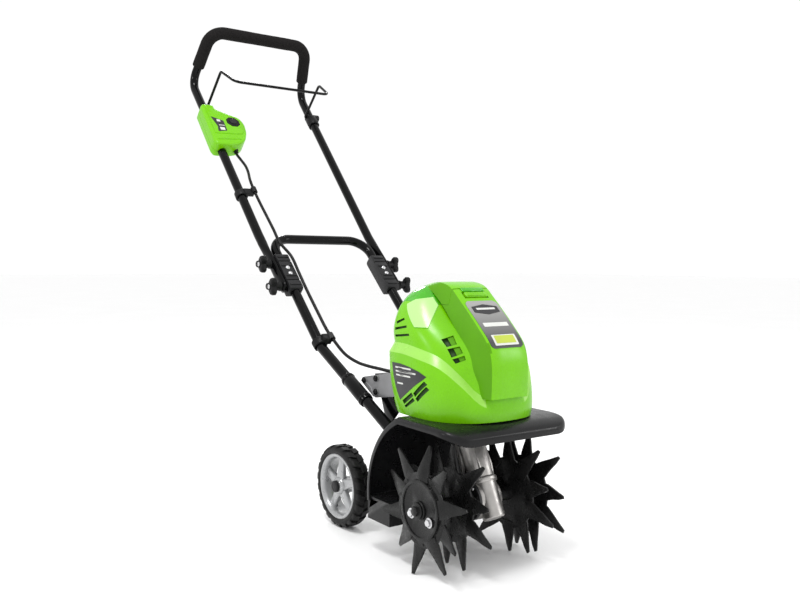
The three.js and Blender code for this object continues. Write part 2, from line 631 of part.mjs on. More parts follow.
function addWheelCarrier() {
  const [py, pz] = CARRIER_PIVOT;
  const slope = slopeOf(CARRIER_PIVOT, [WHEEL_Y, WHEEL_R]);
  const length = Math.hypot(WHEEL_Y - py, WHEEL_R - pz);
  const alongArm = (geometry) => geometry.rotateX(slope).translate(0, py, pz);
  const armShape = roundedPlate(length + 26, 26, 12.9);
  const arms = SIDES.map(([, sign]) => alongArm(
    acrossX(armShape, ...band(sign, CARRIER_HALF - ARM_SHEET, CARRIER_HALF)).translate(0, length / 2, 0)));
  const brace = alongArm(block([-CARRIER_HALF + 1, 40, -ARM_SHEET], [CARRIER_HALF - 1, 56, 0]));
  const pivotHole = rodX(PIVOT_R + GAP, -80, 80, 20).translate(0, py, pz);
  const axleHole = rodX(WHEEL_PIN_R + GAP, -80, 80, 20).translate(0, WHEEL_Y, WHEEL_R);
  add('wheel_carrier', cut(join(...arms, brace), pivotHole, axleHole), 'blackSteel');

  const earShape = outline([[144, 98], [162, 104], [174, 112], [174, 124], [162, 132], [144, 140]]);
  const earOut = CARRIER_HALF - ARM_SHEET - GAP;
  const ears = SIDES.map(([, sign]) => acrossX(earShape, ...band(sign, earOut - 4.2, earOut)));
  const bridge = block([-CARRIER_HALF + 5, 140, 100], [CARRIER_HALF - 5, 154, 138]);
  add('carrier_mount', cut(join(...ears, bridge), fenderRoom(), pivotHole), 'blackSteel');

  const pinEnd = CARRIER_HALF + 10;
  const heads = SIDES.map(([, sign]) => rodX(9, ...band(sign, CARRIER_HALF + GAP, pinEnd), 16));
  const pin = join(rodX(PIVOT_R, -pinEnd + 4, pinEnd - 4, 20), ...heads);
  add('carrier_pin', pin, 'brightSteel', [0, py, pz]);
  const axle = rodX(WHEEL_PIN_R, -WHEEL_OUT - 3, WHEEL_OUT + 3, 20);
  add('wheel_axle', axle, 'brightSteel', [0, WHEEL_Y, WHEEL_R]);
}

function lathedX(profile, segments) {
  const lathe = new THREE.LatheGeometry(profile.map(([r, x]) => new THREE.Vector2(r, x)), segments);
  return lathe.rotateX(Math.PI / 2).rotateY(Math.PI / 2);
}

function wheelRim(sign) {
  const half = TYRE_WIDTH / 2;
  const barrel = lathedX([[RIM_R - 9, -half + 1], [RIM_R - GAP, -half + 1], [RIM_R - GAP, half - 1],
    [RIM_R - 5, half - 1], [RIM_R - 8, half - 5], [RIM_R - 9, -half + 1]], 24);
  const hub = lathedX([[WHEEL_PIN_R + GAP, -half + 2], [15, -half + 2], [17, half - 6], [13, half - 1],
    [WHEEL_PIN_R + GAP, half - 1], [WHEEL_PIN_R + GAP, -half + 2]], 16);
  const spoke = loft([[10, 12, 10], [RIM_R - 6, 9, 6]].map(([r, wide, deep]) => [
    [-wide * 0.8, deep], [wide * 0.8, deep], [wide, 0], [-wide, 0],
  ].map(([y, x]) => new THREE.Vector3(x - 1.3, y, r))));
  const spokes = Array.from({ length: SPOKES }, (unused, i) => (
    spoke.clone().rotateX((i / SPOKES) * 2 * Math.PI)));
  const bore = rodX(WHEEL_PIN_R + GAP, -40, 40, 12);
  const rim = cut(join(barrel, hub, ...spokes), bore);
  return sign < 0 ? rim.rotateY(Math.PI) : rim;
}

function addWheels() {
  const half = TYRE_WIDTH / 2;
  const tread = [[RIM_R, -half], [WHEEL_R - 7, -half], [WHEEL_R - 2, -half + 2.5], [WHEEL_R, -half + 7],
    [WHEEL_R, half - 7], [WHEEL_R - 2, half - 2.5], [WHEEL_R - 7, half], [RIM_R, half], [RIM_R, -half]];
  for (const [side, sign] of SIDES) {
    const place = [sign * (WHEEL_OUT - half), WHEEL_Y, WHEEL_R];
    add(`tyre_${side}`, lathedX(tread, 40), 'rubber', place);
    add(`wheel_rim_${side}`, wheelRim(sign), 'silverPlastic', place);
    const cap = join(rodX(9, ...band(sign, WHEEL_OUT + 3 + GAP, WHEEL_OUT + 5), 20),
      rodX(10.5, ...band(sign, WHEEL_OUT - 1 + GAP, WHEEL_OUT + 4), 20));
    const pinRoom = rodX(WHEEL_PIN_R + GAP, ...band(sign, 0, WHEEL_OUT + 3 + GAP), 20);
    add(`hub_cap_${side}`, cut(cap, pinRoom), 'greyPlastic', [0, WHEEL_Y, WHEEL_R]);
  }
}

// ---------------------------------------------------------------- lower handle and clamps

function addLowerHandle() {
  const foot = alongLine(FRAME_END, LOWER_BEND, 0.43);
  const corners = [vec(-LOWER_X, foot), vec(-LOWER_X, LOWER_BEND), vec(-LOWER_X, LOWER_TOP),
    vec(LOWER_X, LOWER_TOP), vec(LOWER_X, LOWER_BEND), vec(LOWER_X, foot)];
  const line = new BentLine(corners, LOWER_BEND_R);
  add('lower_handle', tube(line, TUBE_R, TUBE_R - TUBE_WALL), 'blackSteel');
}

// A shape drawn along the lower handle's slope, from a point on its axis.
function onLowerSlope(geometry, [y, z]) {
  return geometry.rotateX(slopeOf(LOWER_BEND, LOWER_TOP)).translate(0, y, z);
}

// A three-lobed knob whose face lies at x = 0, with its stud pointing inwards.
function starKnob(sign, studLength) {
  const lobes = 3;
  const points = Array.from({ length: 24 }, (unused, i) => {
    const turn = (i / 24) * 2 * Math.PI;
    const radius = 13.5 + 5 * Math.cos(lobes * turn);
    return [radius * Math.cos(turn), radius * Math.sin(turn)];
  });
  const grip = acrossX(outline(points), ...band(sign, 12, 24));
  const neck = rodX(9.5, ...band(sign, 0, 13), 12);
  const cap = rodX(6, ...band(sign, 23, 25.5), 8);
  const stud = rodX(3.7, ...band(sign, -studLength, 1), 8);
  return join(grip, neck, cap, stud);
}

function addClamps() {
  const middle = alongLine(FOLD_PIVOT, LOCK_KNOB, 0.5);
  const run = [-1, 2].map((share) => alongLine(LOWER_BEND, LOWER_TOP, share));
  const knobFace = CLAMP_X + FLAT_HALF + GAP;
  for (const [side, sign] of SIDES) {
    const plate = roundedPlate(96, 27, 5, 2);
    const body = acrossX(plate, ...band(sign, LOWER_X - 13.5, CLAMP_X - FLAT_HALF - GAP));
    const notches = [-26, 26].map((at) => block([-200, at - 1.2, 10.5], [200, at + 1.2, 20]));
    const tubeRoom = tube(new BentLine(run.map((p) => vec(sign * LOWER_X, p)), 1), TUBE_R + GAP, 0, 20);
    const studRoom = rodX(STUD_ROOM_R, ...band(sign, 125, 140), 10).translate(0, ...FOLD_PIVOT);
    const clamp = cut(onLowerSlope(cut(body, ...notches), middle), tubeRoom, studRoom);
    add(`clamp_block_${side}`, clamp, 'greyPlastic');
    add(`fold_knob_${side}`, starKnob(sign, 13), 'blackPlastic', [sign * knobFace, ...FOLD_PIVOT]);
    add(`lock_knob_${side}`, starKnob(sign, 10), 'blackPlastic', [sign * knobFace, ...LOCK_KNOB]);
  }
}

// ---------------------------------------------------------------- upper handle

// y, z of a point at distance s up the straight upper leg, and n above its axis.
const UPPER_ORIGIN = [517, 510];
const UPPER_SLOPE = slopeOf(UPPER_ORIGIN, UPPER_BEND);
function onUpper(s, n = 0) {
  const c = Math.cos(UPPER_SLOPE);
  const k = Math.sin(UPPER_SLOPE);
  return [UPPER_ORIGIN[0] + s * c - n * k, UPPER_ORIGIN[1] + s * k + n * c];
}

// Sideways place of the upper leg at distance s: it widens from the clamp to the bend.
const upperX = (s) => THREE.MathUtils.mapLinear(s, 34, 530, CLAMP_X, UPPER_BEND_X);

function upperHandleLine() {
  const leg = (sign) => [
    vec(sign * CLAMP_X, alongLine(FOLD_PIVOT, LOCK_KNOB, 1.45)), vec(sign * CLAMP_X, UPPER_LOW),
    vec(sign * UPPER_BEND_X, UPPER_BEND), vec(sign * GRIP_CORNER_X, GRIP_CORNER)];
  return [...leg(-1), ...leg(1).reverse()];
}

function addUpperHandle() {
  const line = new BentLine(upperHandleLine(), UPPER_BEND_R);
  const flats = SIDES.map(([, sign]) => {
    const along = Math.hypot(LOCK_KNOB[0] - FOLD_PIVOT[0], LOCK_KNOB[1] - FOLD_PIVOT[1]);
    const plate = roundedPlate(along * 1.5 + 26, 24, 11.9);
    const strip = acrossX(plate, ...band(sign, CLAMP_X - FLAT_HALF, CLAMP_X + FLAT_HALF));
    return onLowerSlope(strip, alongLine(FOLD_PIVOT, LOCK_KNOB, 0.75));
  });
  const studRooms = [FOLD_PIVOT, LOCK_KNOB].map((p) => (
    rodX(STUD_ROOM_R, -200, 200, 10).translate(0, ...p)));
  const whole = join(tube(line, TUBE_R, TUBE_R - TUBE_WALL), ...flats);
  add('upper_handle', cut(whole, ...studRooms, bailRoom(-1), bailRoom(1)), 'blackSteel');

  const foamX = THREE.MathUtils.lerp(UPPER_BEND_X, GRIP_CORNER_X, FOAM_START);
  const foamEnd = alongLine(UPPER_BEND, GRIP_CORNER, FOAM_START);
  const foamLine = new BentLine([vec(-foamX, foamEnd), vec(-GRIP_CORNER_X, GRIP_CORNER),
    vec(GRIP_CORNER_X, GRIP_CORNER), vec(foamX, foamEnd)], UPPER_BEND_R);
  add('foam_grip', tube(foamLine, FOAM_R, around(TUBE_R, 8), 16), 'foam');
}

// Stands a solid drawn in x (across) and y (up the leg), with z above the leg, on the upper leg.
function onUpperLeg(geometry) {
  const [y, z] = onUpper(0);
  return geometry.rotateX(UPPER_SLOPE).translate(0, y, z);
}

// A short bar along the leg's direction, drawn like the pieces on the upper leg.
const barAlong = (radius, half, sides) => upZ(disc(radius, sides), -half, half).rotateX(Math.PI / 2);

const SWITCH_OUTLINE = [
  [-158, 300], [-154, 288], [-122, 288], [-95, 296], [-80, 312], [-70, 338], [-67, 366], [-74, 386],
  [-110, 402], [-122, 408], [-126, 412], [-126, 424], [-152, 424], [-158, 416],
];
const BUTTON_PLACE = [-96, 366];
const BUTTON_R = 14;
const GLAND_PLACE = [-104, 293, 0];
const GLAND_R = 5.6;

function legRoom(sign) {
  const ends = [100, 520].map((s) => vec(sign * upperX(s), onUpper(s)));
  return tube(new BentLine(ends, 1), TUBE_R + GAP, 0, 20);
}

// A bar across the handle at the bail's pivot, between two distances from the middle.
function atBailPivot(radius, sign, inner, outer) {
  return rodX(radius, ...band(sign, inner, outer), 16).translate(0, ...onUpper(BAIL_S, 0));
}

const bailRoom = (sign) => atBailPivot(BAIL_R + GAP, sign, BAIL_LEG_X - 10, BAIL_LEG_X + 13);

function addSwitchBox() {
  const whole = (z0, z1) => onUpperLeg(upZ(outline(SWITCH_OUTLINE), z0, z1));
  const [bx, by] = BUTTON_PLACE;
  const octagon = (radius, z0, z1) => (
    upZ(disc(radius, 8), z0, z1).rotateZ(Math.PI / 8).translate(bx, by, 0));
  const hollow = onUpperLeg(upZ(outline([[-118, 299], [-97, 303], [-84, 316], [-74, 340], [-71, 366],
    [-77, 382], [-118, 398]]), -SWITCH_BACK + 2.5, SWITCH_FRONT - 3));
  const alongLeg = (shape, z0, z1) => (
    onUpperLeg(upZ(shape, z0, z1).rotateX(Math.PI / 2).translate(...GLAND_PLACE)));
  const tools = [legRoom(-1), hollow, alongLeg(disc(GLAND_R + 0.4, 16), -20, 20),
    onUpperLeg(octagon(BUTTON_R + 0.5, 10, 30))];
  add('switch_box_front', cut(whole(GAP / 2, SWITCH_FRONT), ...tools), 'lime');
  add('switch_box_rear', cut(whole(-SWITCH_BACK, -GAP / 2), ...tools), 'lime');

  const button = octagon(BUTTON_R, 12, SWITCH_FRONT + 1);
  const pad = octagon(9, SWITCH_FRONT, SWITCH_FRONT + 4);
  add('lock_button', onUpperLeg(join(button, pad)), 'blackPlastic');
  add('micro_switch', onUpperLeg(block([-102, 342, -11], [-84, 378, 4])), 'blackPlastic');
  add('cable_gland', alongLeg(disc(GLAND_R, 16, CABLE_R + GAP), -6, 12), 'blackPlastic');
}

function addBail() {
  const pivot = onUpper(BAIL_S, 0);
  const crown = [748, 903];
  const bar = [689, 871];
  const leg = (sign) => [vec(sign * (BAIL_LEG_X + 11), pivot), vec(sign * BAIL_LEG_X, pivot),
    vec(sign * BAIL_CROWN_X, crown), vec(sign * BAIL_BAR_X, bar)];
  const bends = [5, 9, 18, 18, 9, 5];
  const line = new BentLine([...leg(-1), ...leg(1).reverse()], bends);
  add('bail_lever', tube(line, BAIL_R, 0, 8), 'blackSteel');

  const collarLength = 26;
  const collar = onUpperLeg(barAlong(13.5, collarLength / 2, 20)
    .translate(upperX(BAIL_S), BAIL_S - 5 - collarLength / 2, 0));
  const boss = atBailPivot(8.5, 1, BAIL_LEG_X + BAIL_R + 1, 162);
  add('bail_bracket', cut(join(collar, boss), legRoom(1), bailRoom(1)), 'blackPlastic');
}

// ---------------------------------------------------------------- cable

// x, distance up the leg, height over it: from the switch box's gland down to the fold
const CABLE_UPPER = [
  [-104, 279, 0], [-101, 261, 2], [-98, 240, 4], [-101, 215, 8], [-108, 185, 13], [-111, 150, 16],
  [-111, 110, 18], [-110, 70, 20], [-109, 30, 22], [-108.6, -10, 24],
];
// x, y, z: from the fold down to the housing's rear wall
const CABLE_LOWER = [
  [-95, 470, 492], [-95, 440, 462], [-95, 405, 426], [-95, 365, 388], [-95, 330, 356],
  [-93, 303, 335], [-91, 270, 315], [-88, 235, 304], [-85, 205, 300], [-81, 175, 298], [-80, 150, 297.2],
  [-80, 128, 297],
];

function cableTube(points) {
  const curve = new THREE.CatmullRomCurve3(points);
  return new THREE.ExtrudeGeometry(disc(CABLE_R, 8), {
    steps: 24, extrudePath: curve, bevelEnabled: false,
  });
}

function addUpperClip() {
  const [x, s, n] = CABLE_UPPER[5];
  const arm = block([-132, s - CLIP_HALF, 4], [x, s + CLIP_HALF, n - 2]);
  const clip = join(barAlong(CLIP_R, CLIP_HALF, 20).translate(-upperX(s), s, 0),
    barAlong(CABLE_CLIP_R, CLIP_HALF, 16).translate(x, s, n), arm);
  const cableRoom = barAlong(CABLE_R + 1.2, 20, 16).translate(x, s, n);
  add('cable_clip_upper', cut(onUpperLeg(cut(clip, cableRoom)), legRoom(-1)), 'blackPlastic');
}

function addLowerClip() {
  const slope = slopeOf(CABLE_LOWER[5].slice(1), CABLE_LOWER[4].slice(1));
  const x = -94;
  const place = (geometry) => geometry.rotateX(slope).translate(0, 314, 343);
  const arm = block([-112, -CLIP_HALF, -12], [x, CLIP_HALF, 2]);
  const clip = join(barAlong(CLIP_R, CLIP_HALF, 20).translate(-LOWER_X, 0, -16),
    barAlong(CABLE_CLIP_R, CLIP_HALF, 20).translate(x, 0, 0), arm);
  const tubeRoom = tube(new BentLine([FRAME_END, LOWER_BEND, LOWER_TOP].map((p) => vec(-LOWER_X, p)),
    LOWER_BEND_R), TUBE_R + GAP, 0, 20);
  const cableRoom = place(barAlong(CABLE_R + 1.2, 20, 12).translate(x, 0, 0));
  add('cable_clip_lower', cut(place(clip), tubeRoom, cableRoom), 'blackPlastic');
}

function addCable() {
  add('cable_upper', cableTube(CABLE_UPPER.map(([x, s, n]) => vec(x, onUpper(s, n)))), 'rubber');
  add('cable_lower', cableTube(CABLE_LOWER.map(([x, y, z]) => vec(x, [y, z]))), 'rubber');
  addUpperClip();
  addLowerClip();
}

// ---------------------------------------------------------------- the machine

addTines();
addGearbox();
addGears();
addMotor();
addGuard();
addHousing();
addBattery();
addFrame();
addWheelCarrier();
addWheels();
addLowerHandle();
addClamps();
addUpperHandle();
addSwitchBox();
addBail();
addCable();

export default machine;
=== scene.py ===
"""Looks of the cordless garden tiller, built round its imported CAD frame.

Design points are millimetres from the tine axle line: x across, y back, z up from the ground.
Each piece is made there and then moved into the frame, in metres.
"""

import math

import bmesh
import bpy
from mathutils import Matrix, Vector, noise

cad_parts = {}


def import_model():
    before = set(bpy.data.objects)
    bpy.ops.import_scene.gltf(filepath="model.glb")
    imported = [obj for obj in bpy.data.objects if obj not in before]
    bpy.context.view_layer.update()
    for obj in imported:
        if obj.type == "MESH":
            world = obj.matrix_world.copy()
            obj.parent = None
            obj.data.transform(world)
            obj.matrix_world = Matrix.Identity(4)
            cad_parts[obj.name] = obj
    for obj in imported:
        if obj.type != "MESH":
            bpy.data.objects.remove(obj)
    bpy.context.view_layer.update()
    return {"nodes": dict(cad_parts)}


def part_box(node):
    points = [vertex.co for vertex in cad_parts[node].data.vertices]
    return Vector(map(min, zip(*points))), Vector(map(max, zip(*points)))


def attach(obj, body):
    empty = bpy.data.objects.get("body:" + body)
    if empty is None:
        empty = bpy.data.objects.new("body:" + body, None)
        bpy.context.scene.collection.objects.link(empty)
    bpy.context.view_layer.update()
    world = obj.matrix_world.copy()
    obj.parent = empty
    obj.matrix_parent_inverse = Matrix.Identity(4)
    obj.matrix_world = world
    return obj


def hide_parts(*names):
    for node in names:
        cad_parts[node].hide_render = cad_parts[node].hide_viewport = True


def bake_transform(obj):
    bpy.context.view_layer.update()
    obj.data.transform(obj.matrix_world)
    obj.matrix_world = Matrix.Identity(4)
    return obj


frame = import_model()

MM = 0.001
AXLE_LOW, AXLE_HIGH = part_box("tine_axle")
AXLE_Y = (AXLE_LOW.y + AXLE_HIGH.y) / 2
AXLE_Z = 101.6
SIDES = (("left", -1), ("right", 1))


def world(x, y, z):
    """A design point in the frame, in metres."""
    return Vector((x * MM, y * MM + AXLE_Y, z * MM))


# ---------------- mesh helpers

def mesh_of(points, faces):
    """A mesh from points and from faces that name them by number."""
    bm = bmesh.new()
    verts = [bm.verts.new(p) for p in points]
    for face in faces:
        bm.faces.new([verts[i] for i in face])
    bmesh.ops.recalc_face_normals(bm, faces=bm.faces)
    return bm


def loft(rings, ends=True, wrap=False):
    """A skin over rings of equal length, closed with flat ends or wrapped round on itself."""
    count = len(rings[0])
    points = [p for ring in rings for p in ring]
    faces = []
    spans = len(rings) if wrap else len(rings) - 1
    for level in range(spans):
        low = level * count
        high = ((level + 1) % len(rings)) * count
        for i in range(count):
            j = (i + 1) % count
            faces.append((low + i, low + j, high + j, high + i))
    if ends and not wrap:
        faces.append(tuple(range(count))[::-1])
        faces.append(tuple(range(len(points) - count, len(points))))
    return mesh_of(points, faces)


def merged(*parts):
    """One mesh holding all the given ones, which are used up."""
    whole = bmesh.new()
    for part in parts:
        mesh = bpy.data.meshes.new("part")
        part.to_mesh(mesh)
        part.free()
        whole.from_mesh(mesh)
        bpy.data.meshes.remove(mesh)
    return whole


def moved(bm, matrix):
    """The same mesh, after the matrix has moved its points."""
    bmesh.ops.transform(bm, matrix=matrix, verts=bm.verts)
    return bm


def softened(bm, width, segments=2, angle=30, edge_material=-1):
    """Rounds every edge that is sharper than the angle."""
    bmesh.ops.remove_doubles(bm, verts=bm.verts, dist=0.005)
    bmesh.ops.dissolve_limit(bm, angle_limit=math.radians(1), verts=bm.verts, edges=bm.edges)
    sharp = [e for e in bm.edges
             if len(e.link_faces) == 2 and e.calc_face_angle(0) > math.radians(angle)]
    bmesh.ops.bevel(bm, geom=sharp, offset=width, offset_type="OFFSET", segments=segments,
                    profile=0.5, affect="EDGES", clamp_overlap=True, material=edge_material)
    return bm


MATERIAL_SLOTS = 3


def boolean(bm, tools, operation):
    """Cuts each tool from bm, or keeps what bm shares with it; all of them are used up."""
    def holder(source):
        mesh = bpy.data.meshes.new("solid")
        source.to_mesh(mesh)
        source.free()
        for _ in range(MATERIAL_SLOTS):
            mesh.materials.append(None)
        obj = bpy.data.objects.new("solid", mesh)
        bpy.context.scene.collection.objects.link(obj)
        return obj
    target = holder(bm)
    others = [holder(tool) for tool in tools]
    for other in others:
        step = target.modifiers.new("step", "BOOLEAN")
        step.operation = operation
        step.solver = "EXACT"
        step.object = other
    bpy.context.view_layer.update()
    result = bmesh.new()
    result.from_object(target, bpy.context.evaluated_depsgraph_get())
    for obj in [target, *others]:
        mesh = obj.data
        bpy.data.objects.remove(obj)
        bpy.data.meshes.remove(mesh)
    return result


def carve(bm, *tools):
    """The solid without the tools."""
    return boolean(bm, tools, "DIFFERENCE")


def common(bm, tool):
    """What the two solids share."""
    return boolean(bm, [tool], "INTERSECT")


# ---------------- shape helpers

def arc(count, start=0.0, turn=2 * math.pi):
    """Angles of count points spread over a turn; a full turn leaves out the repeated last one."""
    steps = count if abs(turn) > 6.28 else count - 1
    return [start + turn * i / steps for i in range(count)]


def rounded_outline(corners, radius, steps=4):
    """A polygon with each corner replaced by a small arc of points."""
    points = []
    for i, corner in enumerate(corners):
        here = Vector(corner)
        before = Vector(corners[i - 1]) - here
        after = Vector(corners[(i + 1) % len(corners)]) - here
        reach = min(radius, before.length * 0.45, after.length * 0.45)
        start = here + before.normalized() * reach
        end = here + after.normalized() * reach
        for step in range(steps + 1):
            t = step / steps
            points.append(tuple(start * (1 - t) ** 2 + here * 2 * t * (1 - t) + end * t ** 2))
    return points


def across(outline, x0, x1):
    """A prism of a y-z outline, from x0 to x1."""
    return loft([[(x0, y, z) for y, z in outline], [(x1, y, z) for y, z in outline]])


def upright(outline, z0, z1):
    """A prism of an x-y outline, from z0 to z1."""
    return loft([[(x, y, z0) for x, y in outline], [(x, y, z1) for x, y in outline]])


def box(low, high):
    """A block between two opposite corners."""
    (x0, y0, z0), (x1, y1, z1) = low, high
    return upright([(x0, y0), (x1, y0), (x1, y1), (x0, y1)], z0, z1)


def turned(profile, start, end, sides=48, wrap=False):
    """A solid of revolution: profile pairs are radius and distance from start towards end."""
    start, end = Vector(start), Vector(end)
    spin = (end - start).to_track_quat("Z", "Y").to_matrix().to_4x4()
    rings = []
    for radius, height in profile:
        rings.append([(radius * math.cos(a), radius * math.sin(a), height) for a in arc(sides)])
    return moved(loft(rings, wrap=wrap), Matrix.Translation(start) @ spin)


def rod(start, end, radius, sides=32, edge=0.6):
    """A round bar with eased ends."""
    length = (Vector(end) - Vector(start)).length
    profile = [(radius - edge, 0), (radius - edge * 0.3, edge * 0.3), (radius, edge),
               (radius, length - edge), (radius - edge * 0.3, length - edge * 0.3),
               (radius - edge, length)]
    return turned(profile, start, end, sides)


def dome(centre, outward, radius, height, sides=20):
    """A round bolt or rivet head standing on a face."""
    centre = Vector(centre)
    profile = [(radius, -0.3)]
    profile += [(radius * math.cos(a), height * math.sin(a)) for a in arc(5, 0.15, 1.25)]
    return turned(profile, centre, centre + Vector(outward), sides)


def hex_bolt(centre, outward, width, height):
    """A hexagonal head on a washer."""
    centre = Vector(centre)
    outward = Vector(outward).normalized()
    washer = turned([(width * 0.8, 0), (width * 0.8, 1.0), (width * 0.72, 1.3)], centre,
                    centre + outward, 24)
    head = turned([(width * 0.54, 1.0), (width * 0.58, 1.4), (width * 0.58, height - 0.8),
                   (width * 0.5, height)], centre, centre + outward, 6)
    return merged(washer, head)


def bent_path(corners, radii, step=math.radians(6)):
    """Points along straight runs joined by round bends: radii is one number, or one for each bend."""
    corners = [Vector(c) for c in corners]
    points = [corners[0]]
    if not isinstance(radii, tuple):
        radii = (radii,) * (len(corners) - 2)
    for before, corner, after, radius in zip(corners, corners[1:], corners[2:], radii):
        back = (before - corner).normalized()
        ahead = (after - corner).normalized()
        half = back.angle(ahead) / 2
        centre = corner + (back + ahead).normalized() * radius / math.sin(half)
        start = corner + back * radius / math.tan(half) - centre
        axis = back.cross(ahead).normalized()
        turn = math.pi - 2 * half
        count = max(2, math.ceil(turn / step))
        for i in range(count + 1):
            points.append(centre + Matrix.Rotation(-turn * i / count, 3, axis) @ start)
    points.append(corners[-1])
    return points


def spline(points, per_span=8):
    """A smooth line through the points."""
    points = [Vector(p) for p in points]
    padded = [points[0] * 2 - points[1], *points, points[-1] * 2 - points[-2]]
    line = []
    for a, b, c, d in zip(padded, padded[1:], padded[2:], padded[3:]):
        for i in range(per_span):
            t = i / per_span
            line.append(0.5 * (2 * b + (c - a) * t + (2 * a - 5 * b + 4 * c - d) * t * t
                               + (3 * b - a - 3 * c + d) * t ** 3))
    line.append(points[-1])
    return line


def swept(path, radius, sides=24, half_widths=None):
    """A round bar along a path; half_widths(i) may give the two half widths of section i."""
    path = [Vector(p) for p in path]
    tangents = []
    for i in range(len(path)):
        ahead = path[min(i + 1, len(path) - 1)] - path[max(i - 1, 0)]
        tangents.append(ahead.normalized())
    side = Vector((1, 0, 0)) if abs(tangents[0].x) < 0.9 else Vector((0, 1, 0))
    rings = []
    for i, (point, tangent) in enumerate(zip(path, tangents)):
        side = (side - tangent * side.dot(tangent)).normalized()
        up = tangent.cross(side)
        wide, high = half_widths(i) if half_widths else (radius, radius)
        rings.append([point + side * wide * math.cos(a) + up * high * math.sin(a) for a in arc(sides)])
    return loft(rings)


def lerp(start, end, share):
    """The value at a share of the way from start to end."""
    return start + (end - start) * share


def on_line(start, end, share):
    """The point at a share of the way from start to end, both pairs of numbers."""
    return tuple(lerp(a, b, share) for a, b in zip(start, end))


def between(knots, at):
    """The value at a place, in straight steps between a few (place, value) knots."""
    if at <= knots[0][0]:
        return knots[0][1]
    for (place, value), (next_place, next_value) in zip(knots, knots[1:]):
        if at <= next_place:
            return lerp(value, next_value, (at - place) / (next_place - place))
    return knots[-1][1]


# ---------------- materials

def link(tree, source, target):
    """Joins an output of one shader node to an input of another."""
    tree.links.new(source, target)


def node(tree, kind, **values):
    """A shader node with the values that its inputs or settings start from."""
    made = tree.nodes.new(kind)
    for name, value in values.items():
        if name in made.inputs:
            made.inputs[name].default_value = value
        else:
            setattr(made, name, value)
    return made


def noise_at(tree, place, scale, detail=3.0):
    """Cloudy noise over the object's own coordinates."""
    made = node(tree, "ShaderNodeTexNoise", Scale=scale, Detail=detail)
    link(tree, place, made.inputs["Vector"])
    return made.outputs["Fac"]


def ranged(tree, value, low, high, start=0.3, end=0.7):
    """The value between start and end, spread from low to high."""
    made = node(tree, "ShaderNodeMapRange")
    made.inputs["From Min"].default_value = start
    made.inputs["From Max"].default_value = end
    made.inputs["To Min"].default_value = low
    made.inputs["To Max"].default_value = high
    link(tree, value, made.inputs["Value"])
    return made.outputs["Result"]


def surface(name, colour, rough, metal=0.0, mottle=0.08, patch=30, grain=1500, bump=0.04,
            rough_spread=0.06, coat=0.0, specular=0.5):
    """Shader with a mottled colour, uneven gloss and a fine grain."""
    material = bpy.data.materials.new(name)
    material.use_nodes = True
    tree = material.node_tree
    shader = tree.nodes["Principled BSDF"]
    shader.inputs["Metallic"].default_value = metal
    shader.inputs["Specular IOR Level"].default_value = specular
    shader.inputs["Coat Weight"].default_value = coat
    shader.inputs["Coat Roughness"].default_value = 0.1
    place = node(tree, "ShaderNodeTexCoord").outputs["Object"]
    blend = node(tree, "ShaderNodeMix", data_type="RGBA")
    blend.inputs[6].default_value = tuple(c * (1 - mottle) for c in colour) + (1,)
    blend.inputs[7].default_value = tuple(min(1, c * (1 + mottle)) for c in colour) + (1,)
    link(tree, ranged(tree, noise_at(tree, place, patch), 0, 1), blend.inputs[0])
    link(tree, blend.outputs[2], shader.inputs["Base Color"])
    gloss = ranged(tree, noise_at(tree, place, patch * 2.3, 5), rough - rough_spread,
                   rough + rough_spread)
    link(tree, gloss, shader.inputs["Roughness"])
    relief = node(tree, "ShaderNodeBump", Strength=bump, Distance=0.0005)
    link(tree, noise_at(tree, place, grain, 2), relief.inputs["Height"])
    link(tree, relief.outputs["Normal"], shader.inputs["Normal"])
    return material


LIME = surface("lime_plastic", (0.15, 0.48, 0.0), 0.28, mottle=0.03, bump=0.02,
               rough_spread=0.04, specular=0.3)
# a darker green for painted shade: the spine's sides, the latch well's walls and the vent louvres
LIME_PAINTED_SHADE = surface("lime_painted_shade", (0.085, 0.29, 0.0), 0.36, mottle=0.04, bump=0.02, specular=0.2)
# a lighter green on the shelf's upward faces: a painted highlight
LIME_SHELF_PAINTED_HIGHLIGHT = surface("lime_shelf_painted_highlight", (0.28, 0.60, 0.08), 0.3, mottle=0.04, bump=0.02)
# a pale green for the shoulder facets: a painted highlight
LIME_FACET_PAINTED_HIGHLIGHT = surface("lime_facet_painted_highlight", (0.42, 0.72, 0.24), 0.2, mottle=0.04, patch=14, bump=0.01)
# a near-black green inside the slots and vents: painted shade
LIME_SLOT_PAINTED_SHADE = surface("lime_slot_painted_shade", (0.012, 0.06, 0.0), 0.6)
SMOKED = surface("smoked_lid", (0.08, 0.56, 0.005), 0.12, mottle=0.03, coat=0.3, bump=0.01,
                 specular=0.35)
BLACK_STEEL = surface("black_steel", (0.002, 0.002, 0.0022), 0.13, mottle=0.2, bump=0.02,
                      rough_spread=0.03, specular=0.14)
TINE_STEEL = surface("tine_steel", (0.009, 0.009, 0.009), 0.3, metal=0.1, mottle=0.35,
                     patch=60, grain=900, bump=0.12, rough_spread=0.1, specular=0.2)
